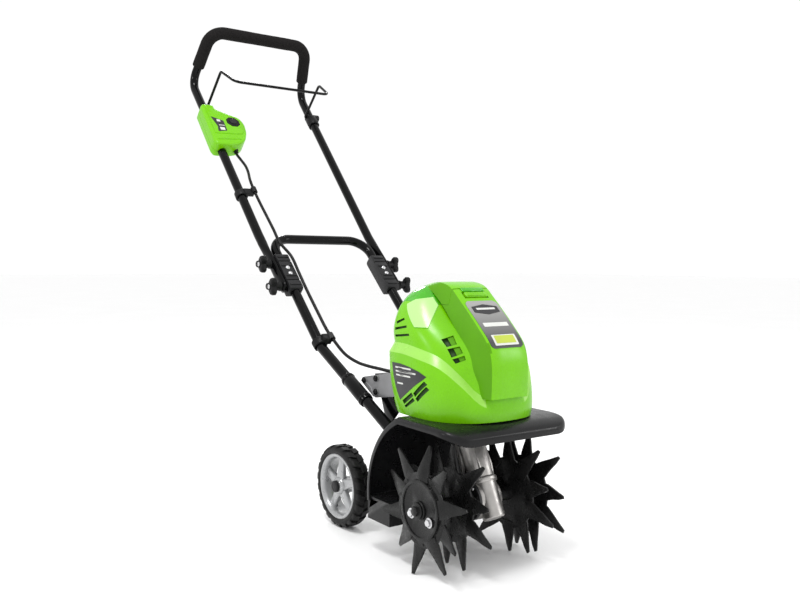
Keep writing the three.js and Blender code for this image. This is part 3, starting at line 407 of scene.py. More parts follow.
# a lighter, metallic grey on the tines' bevelled edges: a painted highlight
TINE_EDGE_HIGHLIGHT = surface("tine_edge_highlight", (0.16, 0.16, 0.165), 0.3, metal=0.8, mottle=0.3, patch=90)
ZINC = surface("zinc_steel", (0.62, 0.62, 0.63), 0.28, metal=1, mottle=0.12, patch=90,
               grain=700, bump=0.05)
CAST = surface("cast_alloy", (0.42, 0.405, 0.39), 0.38, metal=0.9, mottle=0.14, patch=45,
               grain=500, bump=0.16, rough_spread=0.08)
COVER_PLATE = surface("cover_plate", (0.03, 0.03, 0.031), 0.4, metal=0.4, mottle=0.2, bump=0.08)
BRONZE = surface("bronze", (0.45, 0.27, 0.09), 0.35, metal=1, mottle=0.15)
COPPER = surface("copper_winding", (0.55, 0.22, 0.08), 0.35, metal=1, mottle=0.2, grain=300,
                 bump=0.3)
GUARD_BLACK = surface("guard_plastic", (0.006, 0.006, 0.0065), 0.3, mottle=0.15, grain=1200,
                      bump=0.08, specular=0.22)
BLACK_PLASTIC = surface("black_plastic", (0.007, 0.007, 0.0075), 0.42, mottle=0.15, grain=1400,
                        bump=0.1, specular=0.16)
GREY_PLASTIC = surface("grey_plastic", (0.016, 0.016, 0.017), 0.45, mottle=0.12, grain=1100,
                       bump=0.12, specular=0.2)
GREY_PAINT = surface("grey_paint", (0.2, 0.2, 0.205), 0.42, metal=0.3, mottle=0.12, bump=0.06)
SILVER_PLASTIC = surface("silver_plastic", (0.36, 0.365, 0.37), 0.3, metal=0.6, mottle=0.06,
                         coat=0.2)
BOARD_GREEN = surface("circuit_board", (0.01, 0.09, 0.03), 0.4, mottle=0.3, patch=150)
CABLE_BLACK = surface("cable_rubber", (0.004, 0.004, 0.004), 0.4, mottle=0.2, bump=0.05,
                      specular=0.2)
STICKER = surface("sticker_dark", (0.014, 0.014, 0.016), 0.35, mottle=0.1, bump=0.02)
STICKER_LIGHT = surface("sticker_light", (0.62, 0.63, 0.60), 0.35, mottle=0.05, bump=0.02)
STICKER_YELLOW = surface("sticker_yellow", (0.42, 0.50, 0.05), 0.35, mottle=0.05, bump=0.02)
TYRE = surface("tyre_rubber", (0.006, 0.006, 0.006), 0.5, mottle=0.25, patch=80, grain=900,
               bump=0.15, specular=0.2)
FOAM = surface("grip_foam", (0.0105, 0.0095, 0.0095), 0.88, mottle=0.35, patch=350, grain=2600,
               bump=0.4, rough_spread=0.04, specular=0.1)
FLOOR = surface("floor_paper", (0.96, 0.96, 0.96), 0.6, mottle=0.01, patch=2, grain=40, bump=0.01)


def faded(name, high, low, top, foot):
    """A printed fade from one colour at height top to another at height foot, in metres."""
    material = surface(name, high, 0.35, bump=0.02)
    tree = material.node_tree
    shader = tree.nodes["Principled BSDF"]
    split = node(tree, "ShaderNodeSeparateXYZ")
    link(tree, node(tree, "ShaderNodeTexCoord").outputs["Object"], split.inputs["Vector"])
    mix = node(tree, "ShaderNodeMix", data_type="RGBA")
    mix.inputs[6].default_value = (*low, 1)
    mix.inputs[7].default_value = (*high, 1)
    link(tree, ranged(tree, split.outputs["Z"], 0, 1, foot, top), mix.inputs[0])
    link(tree, mix.outputs[2], shader.inputs["Base Color"])
    return material


STICKER_FADE = faded("sticker_fade", (0.30, 0.30, 0.29), (0.045, 0.045, 0.048), 0.415, 0.36)
SMOKED.node_tree.nodes["Principled BSDF"].inputs["Transmission Weight"].default_value = 0.4


# ---------------- pieces

def finish_mesh(name, bm, finishes, smooth):
    """An object in the frame, in metres, from a mesh in design millimetres, which is used up."""
    bmesh.ops.scale(bm, vec=(MM, MM, MM), verts=bm.verts)
    bmesh.ops.translate(bm, vec=(0, AXLE_Y, 0), verts=bm.verts)
    bmesh.ops.recalc_face_normals(bm, faces=bm.faces)
    mesh = bpy.data.meshes.new(name)
    bm.to_mesh(mesh)
    bm.free()
    mesh.shade_smooth()
    mesh.set_sharp_from_angle(angle=math.radians(smooth))
    for finish in finishes:
        mesh.materials.append(finish)
    obj = bpy.data.objects.new(name, mesh)
    bpy.context.scene.collection.objects.link(obj)
    return obj


def piece(name, bm, finishes, body="chassis", replaces=None, smooth=35):
    """A finished piece that rides on a CAD body and may stand for one of its nodes."""
    if not isinstance(finishes, list):
        finishes = [finishes]
    obj = finish_mesh(name, bm, finishes, smooth)
    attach(obj, body)
    if replaces:
        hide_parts(replaces)
    return obj


def cad(name):
    """A CAD node's shape, in design millimetres."""
    bm = bmesh.new()
    bm.from_mesh(frame["nodes"][name].data)
    bmesh.ops.translate(bm, vec=(0, -AXLE_Y, 0), verts=bm.verts)
    bmesh.ops.scale(bm, vec=(1 / MM, 1 / MM, 1 / MM), verts=bm.verts)
    bmesh.ops.remove_doubles(bm, verts=bm.verts, dist=0.005)
    return bm


def refined(name, finish, body="chassis", edge=0.8):
    """A CAD node with its edges rounded."""
    piece(name + "_shape", softened(cad(name), edge), finish, body, name)


def repainted(name, finish):
    """A CAD node kept as it is, with a better finish."""
    mesh = frame["nodes"][name].data
    mesh.materials.clear()
    mesh.materials.append(finish)


# ---------------- tines and axle

OUTER_TINE_X = {"left": 117, "right": 94}
FLANGE_FACE = 5.5               # the flange stands out this far from the outer disc
RIVETS = 10
RIVET_R = 53                    # of the circle that the rivets lie on
FLANGE_BOLTS = ((19, -8.6), (-26, -12.6))       # back from the axle, up from it


def tine_fixings(side, sign):
    """Rivets round the flange, two bolts and the hub collar of an outer tine disc."""
    disc_x = OUTER_TINE_X[side]
    face = sign * (disc_x + FLANGE_FACE)
    outward = (sign, 0, 0)
    rivets = [dome((sign * (disc_x + 1.1), RIVET_R * math.cos(a), AXLE_Z + RIVET_R * math.sin(a)),
                   outward, 2.4, 1.6, 12) for a in arc(RIVETS, 0.2)]
    bolts = [hex_bolt((face - sign * 0.4, y, AXLE_Z + z), outward, 10, 5) for y, z in FLANGE_BOLTS]
    collar = turned([(8.4, 0), (15, 0), (15, 1.6), (13.5, 2.8), (8.4, 2.8)],
                    (face - sign * 1, 0, AXLE_Z), (face, 0, AXLE_Z), 32)
    return merged(*rivets), merged(*bolts), collar


def make_tines():
    """Four star discs with their fixings, and what turns with them inside."""
    for side, sign in SIDES:
        for kind in ("outer", "inner"):
            name = f"{kind}_tine_{side}"
            # the bevels take slot 1, the lighter grey of a painted highlight
            star = softened(cad(name), 0.7, 2, 25, edge_material=1)
            piece(name + "_disc", star, [TINE_STEEL, TINE_EDGE_HIGHLIGHT], "tine_set", name)
        rivets, bolts, collar = tine_fixings(side, sign)
        piece(f"tine_rivets_{side}", rivets, TINE_STEEL, "tine_set")
        piece(f"flange_bolts_{side}", bolts, ZINC, "tine_set")
        piece(f"hub_collar_{side}", collar, TINE_STEEL, "tine_set")
        refined(f"tine_retainer_{side}", TINE_STEEL, "tine_set", 0.5)
    repainted("tine_axle", ZINC)
    repainted("worm_wheel", BRONZE)
    repainted("worm_shaft", ZINC)
    repainted("motor_rotor", COPPER)


# ---------------- gearbox leg

LEG_LEAN = 0.493
LEG_UP = Vector((0, math.sin(LEG_LEAN), math.cos(LEG_LEAN)))
LEG_BASE = Vector((0, -22.5 * math.cos(LEG_LEAN) ** 2,
                   AXLE_Z + 22.5 * math.cos(LEG_LEAN) * math.sin(LEG_LEAN)))
DRUM_R = 32
DRUM_HALF = 21.5
COVER_SCREW_R = 25


def on_leg(height, forward=0.0, aside=0.0):
    """A point beside the leg's axis: forward is at right angles to it, away from the deck."""
    front = Vector((0, -math.cos(LEG_LEAN), math.sin(LEG_LEAN)))
    return LEG_BASE + LEG_UP * height + front * forward + Vector((aside, 0, 0))


def make_gearbox():
    """The cast leg from the motor down to the drum round the axle, with its fins and flange."""
    leg = turned([(13, -39), (16.4, -38.4), (18, -36.5), (18.6, -20), (19.2, 0), (21.6, 50),
                  (22, 60), (22, 122)], on_leg(0), on_leg(1), 56)
    collar = turned([(22, 18), (23.4, 20), (23.6, 25), (22.4, 27)], on_leg(0), on_leg(1), 56)
    drum = turned([(28, -DRUM_HALF), (31, -DRUM_HALF + 0.8), (DRUM_R, -DRUM_HALF + 3),
                   (DRUM_R, DRUM_HALF - 3), (31, DRUM_HALF - 0.8), (28, DRUM_HALF)],
                  (0, 0, AXLE_Z), (1, 0, AXLE_Z), 64)
    boss = turned([(19, DRUM_HALF - 1), (19, DRUM_HALF + 2.4), (17.5, DRUM_HALF + 4),
                   (13, DRUM_HALF + 4)], (0, 0, AXLE_Z), (1, 0, AXLE_Z), 40)
    fins = [softened(across([(-26, 118), (-22, 116), (-2, 160), (16, 196), (10, 199), (-14, 158)],
                            x - 1.6, x + 1.6), 0.8) for x in (-12, 12)]
    rear_fins = [softened(across([(18, 120), (34, 150), (62, 222), (40, 226), (22, 180)],
                                 x - 2, x + 2), 0.8) for x in (-14, 14)]
    flange = softened(upright(rounded_outline([(-38, 16), (38, 16), (38, 76), (-38, 76)], 10),
                              225, 232.5), 1.2)
    piece("gearbox_casting", merged(leg, collar, drum, boss, flange, *fins, *rear_fins), CAST,
          replaces="gearbox_housing")
    bolts = [hex_bolt((x, y, 225), (0, 0, -1), 10, 6) for x in (-30, 30) for y in (26, 66)]
    piece("flange_screws", merged(*bolts), ZINC)
    make_gear_cover()
    for side, _ in SIDES:
        repainted(f"axle_bush_{side}", BRONZE)


def make_gear_cover():
    """The drum's left cover, with spokes of low ribs and a ring of screws."""
    face = -DRUM_HALF - 5
    plate = turned([(14, 0.3), (14, 6.4), (17, 6.6), (18.5, 4.6), (28, 4.4), (30, 5),
                    (DRUM_R - 0.6, 4.4), (DRUM_R, 3), (DRUM_R, 0.3)],
                   (-DRUM_HALF, 0, AXLE_Z), (-DRUM_HALF - 1, 0, AXLE_Z), 64, wrap=True)
    ribs = []
    for a in arc(8, 0.39):
        rib = softened(box((face - 0.9, 18, -1.1), (face + 1, 28, 1.1)), 0.4)
        ribs.append(moved(rib, Matrix.Translation((0, 0, AXLE_Z)) @ Matrix.Rotation(a, 4, "X")))
    screws = [dome((face + 0.4, COVER_SCREW_R * math.cos(a), AXLE_Z + COVER_SCREW_R * math.sin(a)),
                   (-1, 0, 0), 3.1, 2.6, 16) for a in arc(6)]
    piece("gearbox_cover_plate", merged(plate, *ribs), COVER_PLATE, replaces="gearbox_cover")
    piece("gearbox_cover_screws", merged(*screws), ZINC)


# ---------------- guard

DECK_Z = 236
GUARD_R = 147
GUARD_HALF = 125
GUARD_SHEET = 3
GUARD_LIP = 11
GUARD_FRONT = (-84, 221)
FENDER_END_Z = 84
FRONT_CORNER_R = 34


def guard_line(drop):
    """Side view of the guard's top, lowered by drop, from the front lip to the fender's end."""
    y, z = GUARD_FRONT
    front = spline([(y, z - drop, 0), (y + 7, z + 6 - drop, 0), (y + 20, z + 11.5 - drop, 0),
                    (y + 36, z + 14 - drop, 0), (y + 50, DECK_Z - drop, 0)], 5)
    first = math.acos((DECK_Z - AXLE_Z) / GUARD_R)
    last = math.pi / 2 + math.asin((AXLE_Z - FENDER_END_Z) / GUARD_R)
    fender = [((GUARD_R - drop) * math.sin(a), AXLE_Z + (GUARD_R - drop) * math.cos(a))
              for a in arc(40, first, last - first)]
    return [(p.x, p.y) for p in front] + fender


def guard_half(y, inset):
    """Half width of the guard at a place, drawn in round its front corners."""
    short = max(0.0, FRONT_CORNER_R - (y - GUARD_FRONT[0]))
    corner = FRONT_CORNER_R - math.sqrt(max(0.0, FRONT_CORNER_R ** 2 - short ** 2))
    return GUARD_HALF - corner - inset


def guard_solid(inset, depth, start=0):
    """Guard sections of that depth; the upper edges are rounded."""
    rings = []
    edge = max(0.5, 7 - inset)
    line = guard_line(inset)
    deep = guard_line(depth)
    for (y, z), (deep_y, deep_z) in zip(line[start:], deep[start:]):
        half = guard_half(y, inset)
        out = Vector((y - deep_y, z - deep_z)).normalized()
        ring = []
        for sign in (1, -1):
            for a in arc(6, 0, math.pi / 2)[::sign]:
                x = sign * (half - edge + edge * math.cos(a))
                fall = edge * (1 - math.sin(a))
                ring.append((x, y - out.x * fall, z - out.y * fall))
        rings.append(ring + [(-half, deep_y, deep_z), (half, deep_y, deep_z)])
    return loft(rings)


def make_guard():
    """The black deck and fender, open underneath, with a hole for the leg and two beads."""
    outer = guard_solid(0, GUARD_LIP)
    inner = guard_solid(GUARD_SHEET, GUARD_LIP + 6, start=2)
    leg_hole = turned([(25, 70), (25, 170)], on_leg(0), on_leg(1), 40)
    tail = box((-GUARD_HALF + GUARD_SHEET, 80, FENDER_END_Z - 30),
               (GUARD_HALF - GUARD_SHEET, 143.5, FENDER_END_Z + 8))
    guard = carve(outer, inner, leg_hole, tail)
    piece("guard_moulding", guard, GUARD_BLACK, replaces="tine_guard")
    bead_r = GUARD_R + 0.2
    beads = []
    for x in (-84, 84):
        path = [(x, bead_r * math.sin(a), AXLE_Z + bead_r * math.cos(a)) for a in arc(24, 0.75, 0.95)]
        beads.append(swept(path, 2.2, 12))
    piece("guard_ribs", merged(*beads), GUARD_BLACK)


# ---------------- green housing

# height, half width, front y, rear y of the upper shell's plan outline
HOUSING_LEVELS = [
    (DECK_Z + 0.3, 98, -60, 124), (252, 101, -62, 128), (280, 104, -58, 134), (310, 105, -50, 138),
    (340, 104, -38, 140), (370, 103, -10, 143), (395, 95, 18, 141), (414, 85, 38, 135),
    (430, 71, 54, 125), (441, 55, 65, 111), (447, 38, 76, 98),
]
REAR_SQUARENESS = 4.2
FRONT_SQUARENESS = 2.3
SHELF_OUT = 2                   # the body below the shelf stands out, the body above it is drawn in
SHELF_IN = 6.5
SHELF_HEIGHT = 15.5
# angle round the body in degrees (180 is the left side, 270 the front), height of the shelf's top
SHELF_LINE = ((90, 346), (145, 350), (172, 350), (200, 341), (214, 329), (228, 306), (244, 278),
              (270, 264))
SHELF_TOP = [tuple(p.xy) for p in spline([(*place, 0) for place in SHELF_LINE], 6)]
SHELF_FADE = ((90, 1), (236, 1), (254, 0), (270, 0))    # the shelf runs out towards the front
SHELF_HIGHLIGHT_END = 247                 # its painted highlight ends at this angle
COLUMNS = 144
LOWER_ROWS = 10
SHELF_ROWS = 6
UPPER_ROWS = 26
COVER_HALF = 76
COVER_FRONT = 30
COVER_LOW = 413
LID_SKIN = 2.6                  # thickness of the lid's sides, and below it of its top
LID_TOP_SKIN = 1.6
BAY_LOW = (-37.5, 28, 338)      # the room for the battery


def level_at(z):
    """Half width, front and rear of the plan outline at a height, along smooth curves."""
    rows = HOUSING_LEVELS
    last = len(rows) - 1
    i = next((k for k in range(last) if z <= rows[k + 1][0]), last - 1)
    span = rows[i + 1][0] - rows[i][0]
    t = (z - rows[i][0]) / span
    result = []
    for column in (1, 2, 3):
        slopes = []
        for k in (i, i + 1):
            below, above = rows[max(0, k - 1)], rows[min(last, k + 1)]
            slopes.append((above[column] - below[column]) / (above[0] - below[0]))
        result.append(rows[i][column] * (2 * t ** 3 - 3 * t * t + 1)
                      + slopes[0] * span * (t ** 3 - 2 * t * t + t)
                      + rows[i + 1][column] * (3 * t * t - 2 * t ** 3)
                      + slopes[1] * span * (t ** 3 - t * t))
    return result


def mirrored_angle(degrees):
    """The same place on the left half of the body, from 90 (rear) by 180 (left) to 270 (front)."""
    degrees = degrees % 360
    return degrees if 90 <= degrees <= 270 else (180 - degrees) % 360


def on_body(degrees, z, lift=0.0):
    """A point on the body's skin, or lifted off it, at an angle round it and a height."""
    half, front, rear = level_at(z)
    angle = mirrored_angle(degrees)
    share = max(0.0, min(1.0, 1 - (between(SHELF_TOP, angle) - z) / SHELF_HEIGHT))
    inset = lerp(-SHELF_OUT, SHELF_IN, share) * between(SHELF_FADE, angle) - lift
    half, reach, middle = half - inset, (rear - front) / 2 - inset, (front + rear) / 2
    cosine, sine = math.cos(math.radians(degrees)), math.sin(math.radians(degrees))
    square = FRONT_SQUARENESS if sine < 0 else REAR_SQUARENESS
    radius = (abs(cosine / half) ** square + abs(sine / reach) ** square) ** (-1 / square)
    return Vector((radius * cosine, middle + radius * sine, z))


def body_heights(degrees):
    """Heights of the skin's rows: they follow the shelf's two edges."""
    angle = mirrored_angle(degrees)
    top = between(SHELF_TOP, angle)
    foot = top - SHELF_HEIGHT
    low, high = HOUSING_LEVELS[0][0], HOUSING_LEVELS[-1][0]
    rows = [lerp(low, foot, i / LOWER_ROWS) for i in range(LOWER_ROWS)]
    rows += [lerp(foot, top, i / SHELF_ROWS) for i in range(SHELF_ROWS)]
    rows += [lerp(top, high, (i / UPPER_ROWS) ** 0.85) for i in range(UPPER_ROWS + 1)]
    return rows


def body_solid(lift=0.0):
    """The whole body: each ring runs round it through the same row of every column."""
    angles = [360 * i / COLUMNS for i in range(COLUMNS)]
    columns = [[on_body(a, z, lift) for z in body_heights(a)] for a in angles]
    rings = [[column[row] for column in columns] for row in range(len(columns[0]))]
    return loft(rings)


def skin_slab(outline, out, deep, rings=5, per_edge=5):
    """A slab that follows the body's skin: outline corners are (angle, height)."""
    edge = []
    for corner, following in zip(outline, outline[1:] + outline[:1]):
        edge += [on_line(corner, following, k / per_edge) for k in range(per_edge)]
    centre = (sum(a for a, _ in edge) / len(edge), sum(z for _, z in edge) / len(edge))

    def layer(lift, shares):
        return [[on_body(*on_line(centre, spot, share), lift) for spot in edge] for share in shares]

    shares = [(i + 1) / rings for i in range(rings)]
    return loft(layer(out, shares) + layer(-deep, shares[::-1]))


def side_slabs(outlines, out, deep, rings):
    """Slabs for each outline on the left side and for its mirror image on the right."""
    slabs = []
    for outline in outlines:
        mirrored = [(540 - a, z) for a, z in outline][::-1]
        slabs += [skin_slab(o, out, deep, rings) for o in (outline, mirrored)]
    return slabs


SIDE_SLOTS = [
    [(160, 384), (174, 391), (175, 388), (161, 380)],
    [(157, 374), (178, 379.5), (178, 376), (157, 370)],
    [(155, 362.5), (180, 367), (180, 363.5), (155, 359)],
]
LOW_SLOTS = [
    [(178.5, 275), (195, 297), (198, 292.5), (180.5, 270)],
    [(180.5, 267.5), (196.5, 289), (199.5, 285), (183, 263)],
    [(160, 259.5), (176, 276), (178, 271), (161.5, 254)],
    [(161.5, 251.5), (177, 268), (179, 263.5), (163, 249)],
]
VENTS = [
    [(215, 361), (228, 367), (229, 354), (218.5, 350)],
    [(218.5, 347), (231, 351), (232.5, 341), (221, 334.5)],
    [(221.5, 332), (233.5, 337.5), (234, 331), (224, 325.5)],
]
FACET = [(175, 413), (187, 421), (208, 425), (216.5, 412), (205, 378), (190, 378)]
SIDE_LABEL = [(153, 319), (165, 319), (178, 316), (190, 311), (198, 304), (193, 298), (180, 285),
              (168, 272), (157, 260), (154.5, 275), (153, 297)]
SIDE_BARS = ((311, 180), (305, 186), (299, 178), (286, 166))    # height, angle where the bar ends

# side view of the spine: y, z of its front edge and of the foot where its side meets the body
SPINE_EDGE = ((-68.5, 273), (-69.5, 300), (-69, 322), (-66, 340), (-61, 353), (-53, 364),
              (-43, 374), (-24, 392), (-4, 410), (12, 424), (27, 437), (38, 443.5), (52, 447.5),
              (68, 449), (84, 447), (98, 443), (108, 436), (115, 426))
SPINE_FOOT = ((-32, 273), (-31, 289), (-36, 313), (-29, 331), (-12, 352), (0, 366),
              (14, 382), (28, 398), (42, 412), (54, 422), (66, 431), (74, 436), (82, 440),
              (88, 440.5), (94, 440), (101, 436), (107, 430), (112, 422))
SPINE_HALF = 37
SPINE_FOOT_HALF = 47
SPINE_CORE = Vector((0, 60, 380))       # a point well inside, which the hidden edges lean towards


def side_line(places):
    """A smooth line in the middle plane, through y, z places."""
    return spline([(0, y, z) for y, z in places], 4)


def spine_solid():
    """The raised spine: a front face between two edges, with sides that slope out to the body."""
    rings = []
    for edge, foot in zip(side_line(SPINE_EDGE), side_line(SPINE_FOOT)):
        deep = foot.lerp(SPINE_CORE, 0.2)
        half = [(-SPINE_FOOT_HALF, foot), (-SPINE_HALF - 1.6, edge.lerp(foot, 0.13)),
                (-SPINE_HALF - 0.3, edge.lerp(foot, 0.03)), (-SPINE_HALF + 2.5, edge)]
        ring = [(x, p.y, p.z) for x, p in half]
        ring += [(x, edge.y - 0.8, edge.z + 0.3) for x in (-16, 0, 16)]
        ring += [(-x, p.y, p.z) for x, p in reversed(half)]
        ring += [(38, deep.y, deep.z), (-38, deep.y, deep.z)]
        rings.append(ring)
    solid = loft(rings)
    for face in solid.faces:
        # faces that look sideways take slot 1, the darker green of painted shade
        face.material_index = 1 if abs(face.normal.x) > 0.4 else 0
    return solid


def on_spine(z, lift=0.0):
    """A point on the spine's front face at a height, or lifted off it."""
    edge = side_line(SPINE_EDGE)
    i = next(k for k in range(len(edge) - 2) if edge[k + 1].z >= z)
    along = (edge[i + 1] - edge[i]).normalized()
    place = edge[i].lerp(edge[i + 1], (z - edge[i].z) / (edge[i + 1].z - edge[i].z))
    return place + Vector((0, -along.z, along.y)) * lift


LABEL_ROWS = 28


def spine_label(low, high, half, lift, corner=0.5):
    """A thin label with round corners that follows the spine's face between two heights."""
    rings = []
    for i in range(LABEL_ROWS + 1):
        z = lerp(low, high, i / LABEL_ROWS)
        end = corner - min(corner, z - low, high - z)
        width = half - corner + math.sqrt(max(0.0, corner ** 2 - end ** 2))
        rings.append([(x, *on_spine(z, rise).yz) for x, rise in
                      ((-width, -1), (width, -1), (width, lift), (-width, lift))])
    return loft(rings)


LATCH_SLOPE = math.atan2(29, 34)
BADGE_SLOPE = math.atan2(18, 20)
LATCH_PLACE = Matrix.Translation((0, 17, 428.5)) @ Matrix.Rotation(LATCH_SLOPE, 4, "X")


def painted(bm, index):
    """The same mesh, with every face on that material slot."""
    for face in bm.faces:
        face.material_index = index
    return bm


def cover_room(gap):
    """The space that the lid takes, larger by the gap."""
    return box((-COVER_HALF - gap, COVER_FRONT - gap, COVER_LOW - gap),
               (COVER_HALF + gap, 170, 480))


def battery_bay(top):
    """The room for the battery, up to a height."""
    return box(BAY_LOW, (37.5, 128, top))


def housing_cuts():
    """Every slot and vent, as slabs sunk in the skin."""
    sunk = side_slabs(SIDE_SLOTS + LOW_SLOTS, 3, 4, 1) + side_slabs(VENTS, 3, 7, 2)
    for z in range(308, 345, 9):
        sunk.append(skin_slab([(66, z), (114, z), (114, z + 4), (66, z + 4)], 3, 5, rings=1))
    # the slabs' faces take slot 1, the near-black green of painted shade in the slots
    return painted(merged(*sunk), 1)


def louvre(vent):
    """Outline of the slat that fills the rear part of a vent."""
    start, end, far_end, far_start = vent
    return ([on_line(start, end, share) for share in (0.45, 0.96)]
            + [on_line(far_start, far_end, share) for share in (0.96, 0.45)])


def make_housing():
    """The green body with its slots, vents and shelf, and the spine that rises from its front."""
    body = body_solid()
    body.faces.ensure_lookup_table()
    # the shelf's rows, short of the front, take slot 2, the lighter green of a painted highlight
    for i in range(LOWER_ROWS * COLUMNS, (LOWER_ROWS + SHELF_ROWS) * COLUMNS):
        if mirrored_angle(360 * (i % COLUMNS) / COLUMNS) < SHELF_HIGHLIGHT_END:
            body.faces[i].material_index = 2
    shell = carve(body, housing_cuts(), cover_room(0), battery_bay(480))
    piece("housing_shell", shell, [LIME, LIME_SLOT_PAINTED_SHADE, LIME_SHELF_PAINTED_HIGHLIGHT], replaces="motor_housing", smooth=24)
    # the latch well's walls take slot 1 of the spine, the darker green of painted shade
    well = painted(moved(box((-25, -7, -11), (25, 7, 20)), LATCH_PLACE), 1)
    spine = carve(spine_solid(), cover_room(0), well, battery_bay(440))
    piece("housing_spine", spine, [LIME, LIME_PAINTED_SHADE], smooth=28)
    # the louvres sit deep in the vents in the darker green of painted shade
    louvres = side_slabs([louvre(vent) for vent in VENTS], -2.6, 6.5, 2)
    piece("vent_louvres", merged(*louvres), LIME_PAINTED_SHADE)
    # the facets are pale green, a painted highlight on the shoulders
    facets = [softened(slab, 0.5, 1, 50) for slab in side_slabs([FACET], 1.8, 1.5, 6)]
    piece("shoulder_facets", merged(*facets), LIME_FACET_PAINTED_HIGHLIGHT, smooth=28)


def make_lid():
    """The smoked lid over the battery, with the end of the spine on it and a lip at its front."""
    hollow = moved(body_solid(-LID_SKIN), Matrix.Translation((0, 0, -LID_TOP_SKIN)))
    dome_skin = carve(common(body_solid(), cover_room(-0.4)), hollow)
    piece("lid_dome", dome_skin, SMOKED, "battery_lid", "battery_cover", smooth=28)
    # the ridge's sides keep the darker green of painted shade
    ridge = carve(common(spine_solid(), cover_room(-0.4)), body_solid(-2.0))
    piece("lid_ridge", ridge, [LIME, LIME_PAINTED_SHADE], "battery_lid", smooth=28)
    lip = softened(box((-23, 7.5, -3), (23, 16, 3)), 1.6, 3)
    piece("lid_lip", moved(lip, LATCH_PLACE), SMOKED, "battery_lid")


def make_latch():
    """The latch bar in its well, with grip ribs."""
    bar = softened(box((-22.5, -5.5, -6), (22.5, 5, 3.4)), 1.8, 3)
    lip = softened(box((-19, -4.6, 2.6), (19, -2.4, 4.6)), 0.8, 2)
    grips = [softened(box((x - 0.8, -1.6, 2.8), (x + 0.8, 3.6, 4.1)), 0.4, 1)
             for x in range(-15, 16, 5)]
    piece("latch_bar", moved(merged(bar, lip, *grips), LATCH_PLACE), LIME, "lid_latch", "battery_latch")


def make_labels():
    """The front and side labels, with plain bars and patches in place of print."""
    badge_place = Matrix.Translation(on_spine(406, 1.5)) @ Matrix.Rotation(BADGE_SLOPE, 4, "X")
    badge = upright([(-26, -6), (0, -11), (26, -6), (26, 6), (0, 11), (-26, 6)], -1.4, 0.2)
    badge_bar = upright([(-19, -1), (19, -1), (19, 3), (-19, 3)], -1, 0.5)
    labels = (("front_label", spine_label(350, 419, 33, 1.1, 7), STICKER_FADE),
              ("front_label_bar", spine_label(381, 386.5, 25, 1.4), STICKER_LIGHT),
              ("front_label_edge", spine_label(354, 369, 24, 1.4, 1), STICKER_LIGHT),
              ("front_label_patch", spine_label(357, 367.8, 20, 1.7, 1), STICKER_YELLOW),
              ("front_label_badge", moved(badge, badge_place), STICKER),
              ("front_label_badge_bar", moved(badge_bar, badge_place), STICKER_LIGHT),
              ("side_labels", merged(*side_slabs([SIDE_LABEL], 0.4, 1, 8)), STICKER))
    for name, shape, finish in labels:
        piece(name, shape, finish)
    bars = [[(158, z), (end, z), (end, z + 2.4), (158, z + 2.4)] for z, end in SIDE_BARS]
    piece("side_label_bars", merged(*side_slabs(bars, 0.7, 0.2, 1)), STICKER_LIGHT)


# ---------------- battery, motor and board

def make_insides():
    """What the housing holds: battery and tray, motor and mount, and the control board."""
    refined("battery_pack", BLACK_PLASTIC, edge=2.2)
    ribs = [softened(box((-34.2, y - 1.5, 360), (34.2, y + 1.5, 400)), 0.8) for y in range(42, 115, 12)]
    ribs += [softened(box((-18, y - 1, 413), (18, y + 1, 415.5)), 0.6) for y in range(54, 104, 8)]
    piece("battery_ribs", merged(*ribs), GREY_PLASTIC)
    catch = softened(box((-12, 24, 372), (12, 31, 392)), 1.5)
    piece("battery_catch", catch, LIME)
    refined("battery_tray", BLACK_PLASTIC, edge=1)
    refined("motor_can", BLACK_STEEL, edge=1.5)
    refined("motor_mount", CAST)
    refined("control_board", BOARD_GREEN, edge=0.3)
    chips = [softened(box((-66.2, y, z), (-62, y + wide, z + 9)), 0.4, 1)
             for y, z, wide in ((26, 270, 12), (46, 270, 8), (60, 296, 14), (28, 296, 20))]
    cans = [rod((-66.2, y, 316), (-54, y, 316), 4, 16) for y in (34, 48, 62)]
    piece("board_parts", merged(*chips, *cans), BLACK_PLASTIC)


# ---------------- frame behind the housing

TUBE_R = 9.5
SLEEVE_R = 12
LOWER_X = 113
FRAME_END = (104, 216.7)
LOWER_BEND = (316.5, 323.6)
LOWER_TOP = (529, 527)
LOWER_BEND_R = 42
BRACKET_FACE = 101.4
BRACKET_BOLTS = ((153.6, 285), (153.6, 262), (190, 278))


def slope_between(start, end):
    """Angle of the line between two y, z points, up from the ground."""
    return math.atan2(end[1] - start[1], end[0] - start[0])


def make_frame():
    """The tubes from the guard up to the lower handle, with sleeves and the plates that hold them."""
    for side, sign in SIDES:
        def on_tube(share):
            return (sign * LOWER_X, *on_line(FRAME_END, LOWER_BEND, share))

        fender = turned([(GUARD_R - 0.6, 0), (GUARD_R - 0.6, 300)],
                        (-150, 0, AXLE_Z), (150, 0, AXLE_Z), 96)
        stub = carve(swept([on_tube(-0.06), on_tube(0.3)], TUBE_R, 40), fender)
        piece(f"frame_stub_{side}", stub, BLACK_STEEL, replaces=f"frame_tube_{side}")
        sleeve = rod(on_tube(0.27), on_tube(0.575), SLEEVE_R, 40, 1.2)
        bands = [rod(on_tube(share), on_tube(share + 0.02), SLEEVE_R + 0.7, 40, 0.5)
                 for share in (0.29, 0.54)]
        piece(f"sleeve_body_{side}", merged(sleeve, *bands), BLACK_STEEL,
              replaces=f"tube_sleeve_{side}")
        refined(f"frame_bracket_{side}", GREY_PAINT, edge=0.7)
        bolts = [dome((sign * BRACKET_FACE, y, z), (sign, 0, 0), 5.6, 3.4)
                 for y, z in BRACKET_BOLTS]
        piece(f"bracket_bolts_{side}", merged(*bolts), BLACK_STEEL)
    refined("rear_frame", BLACK_STEEL, edge=1.2)


# ---------------- transport wheels

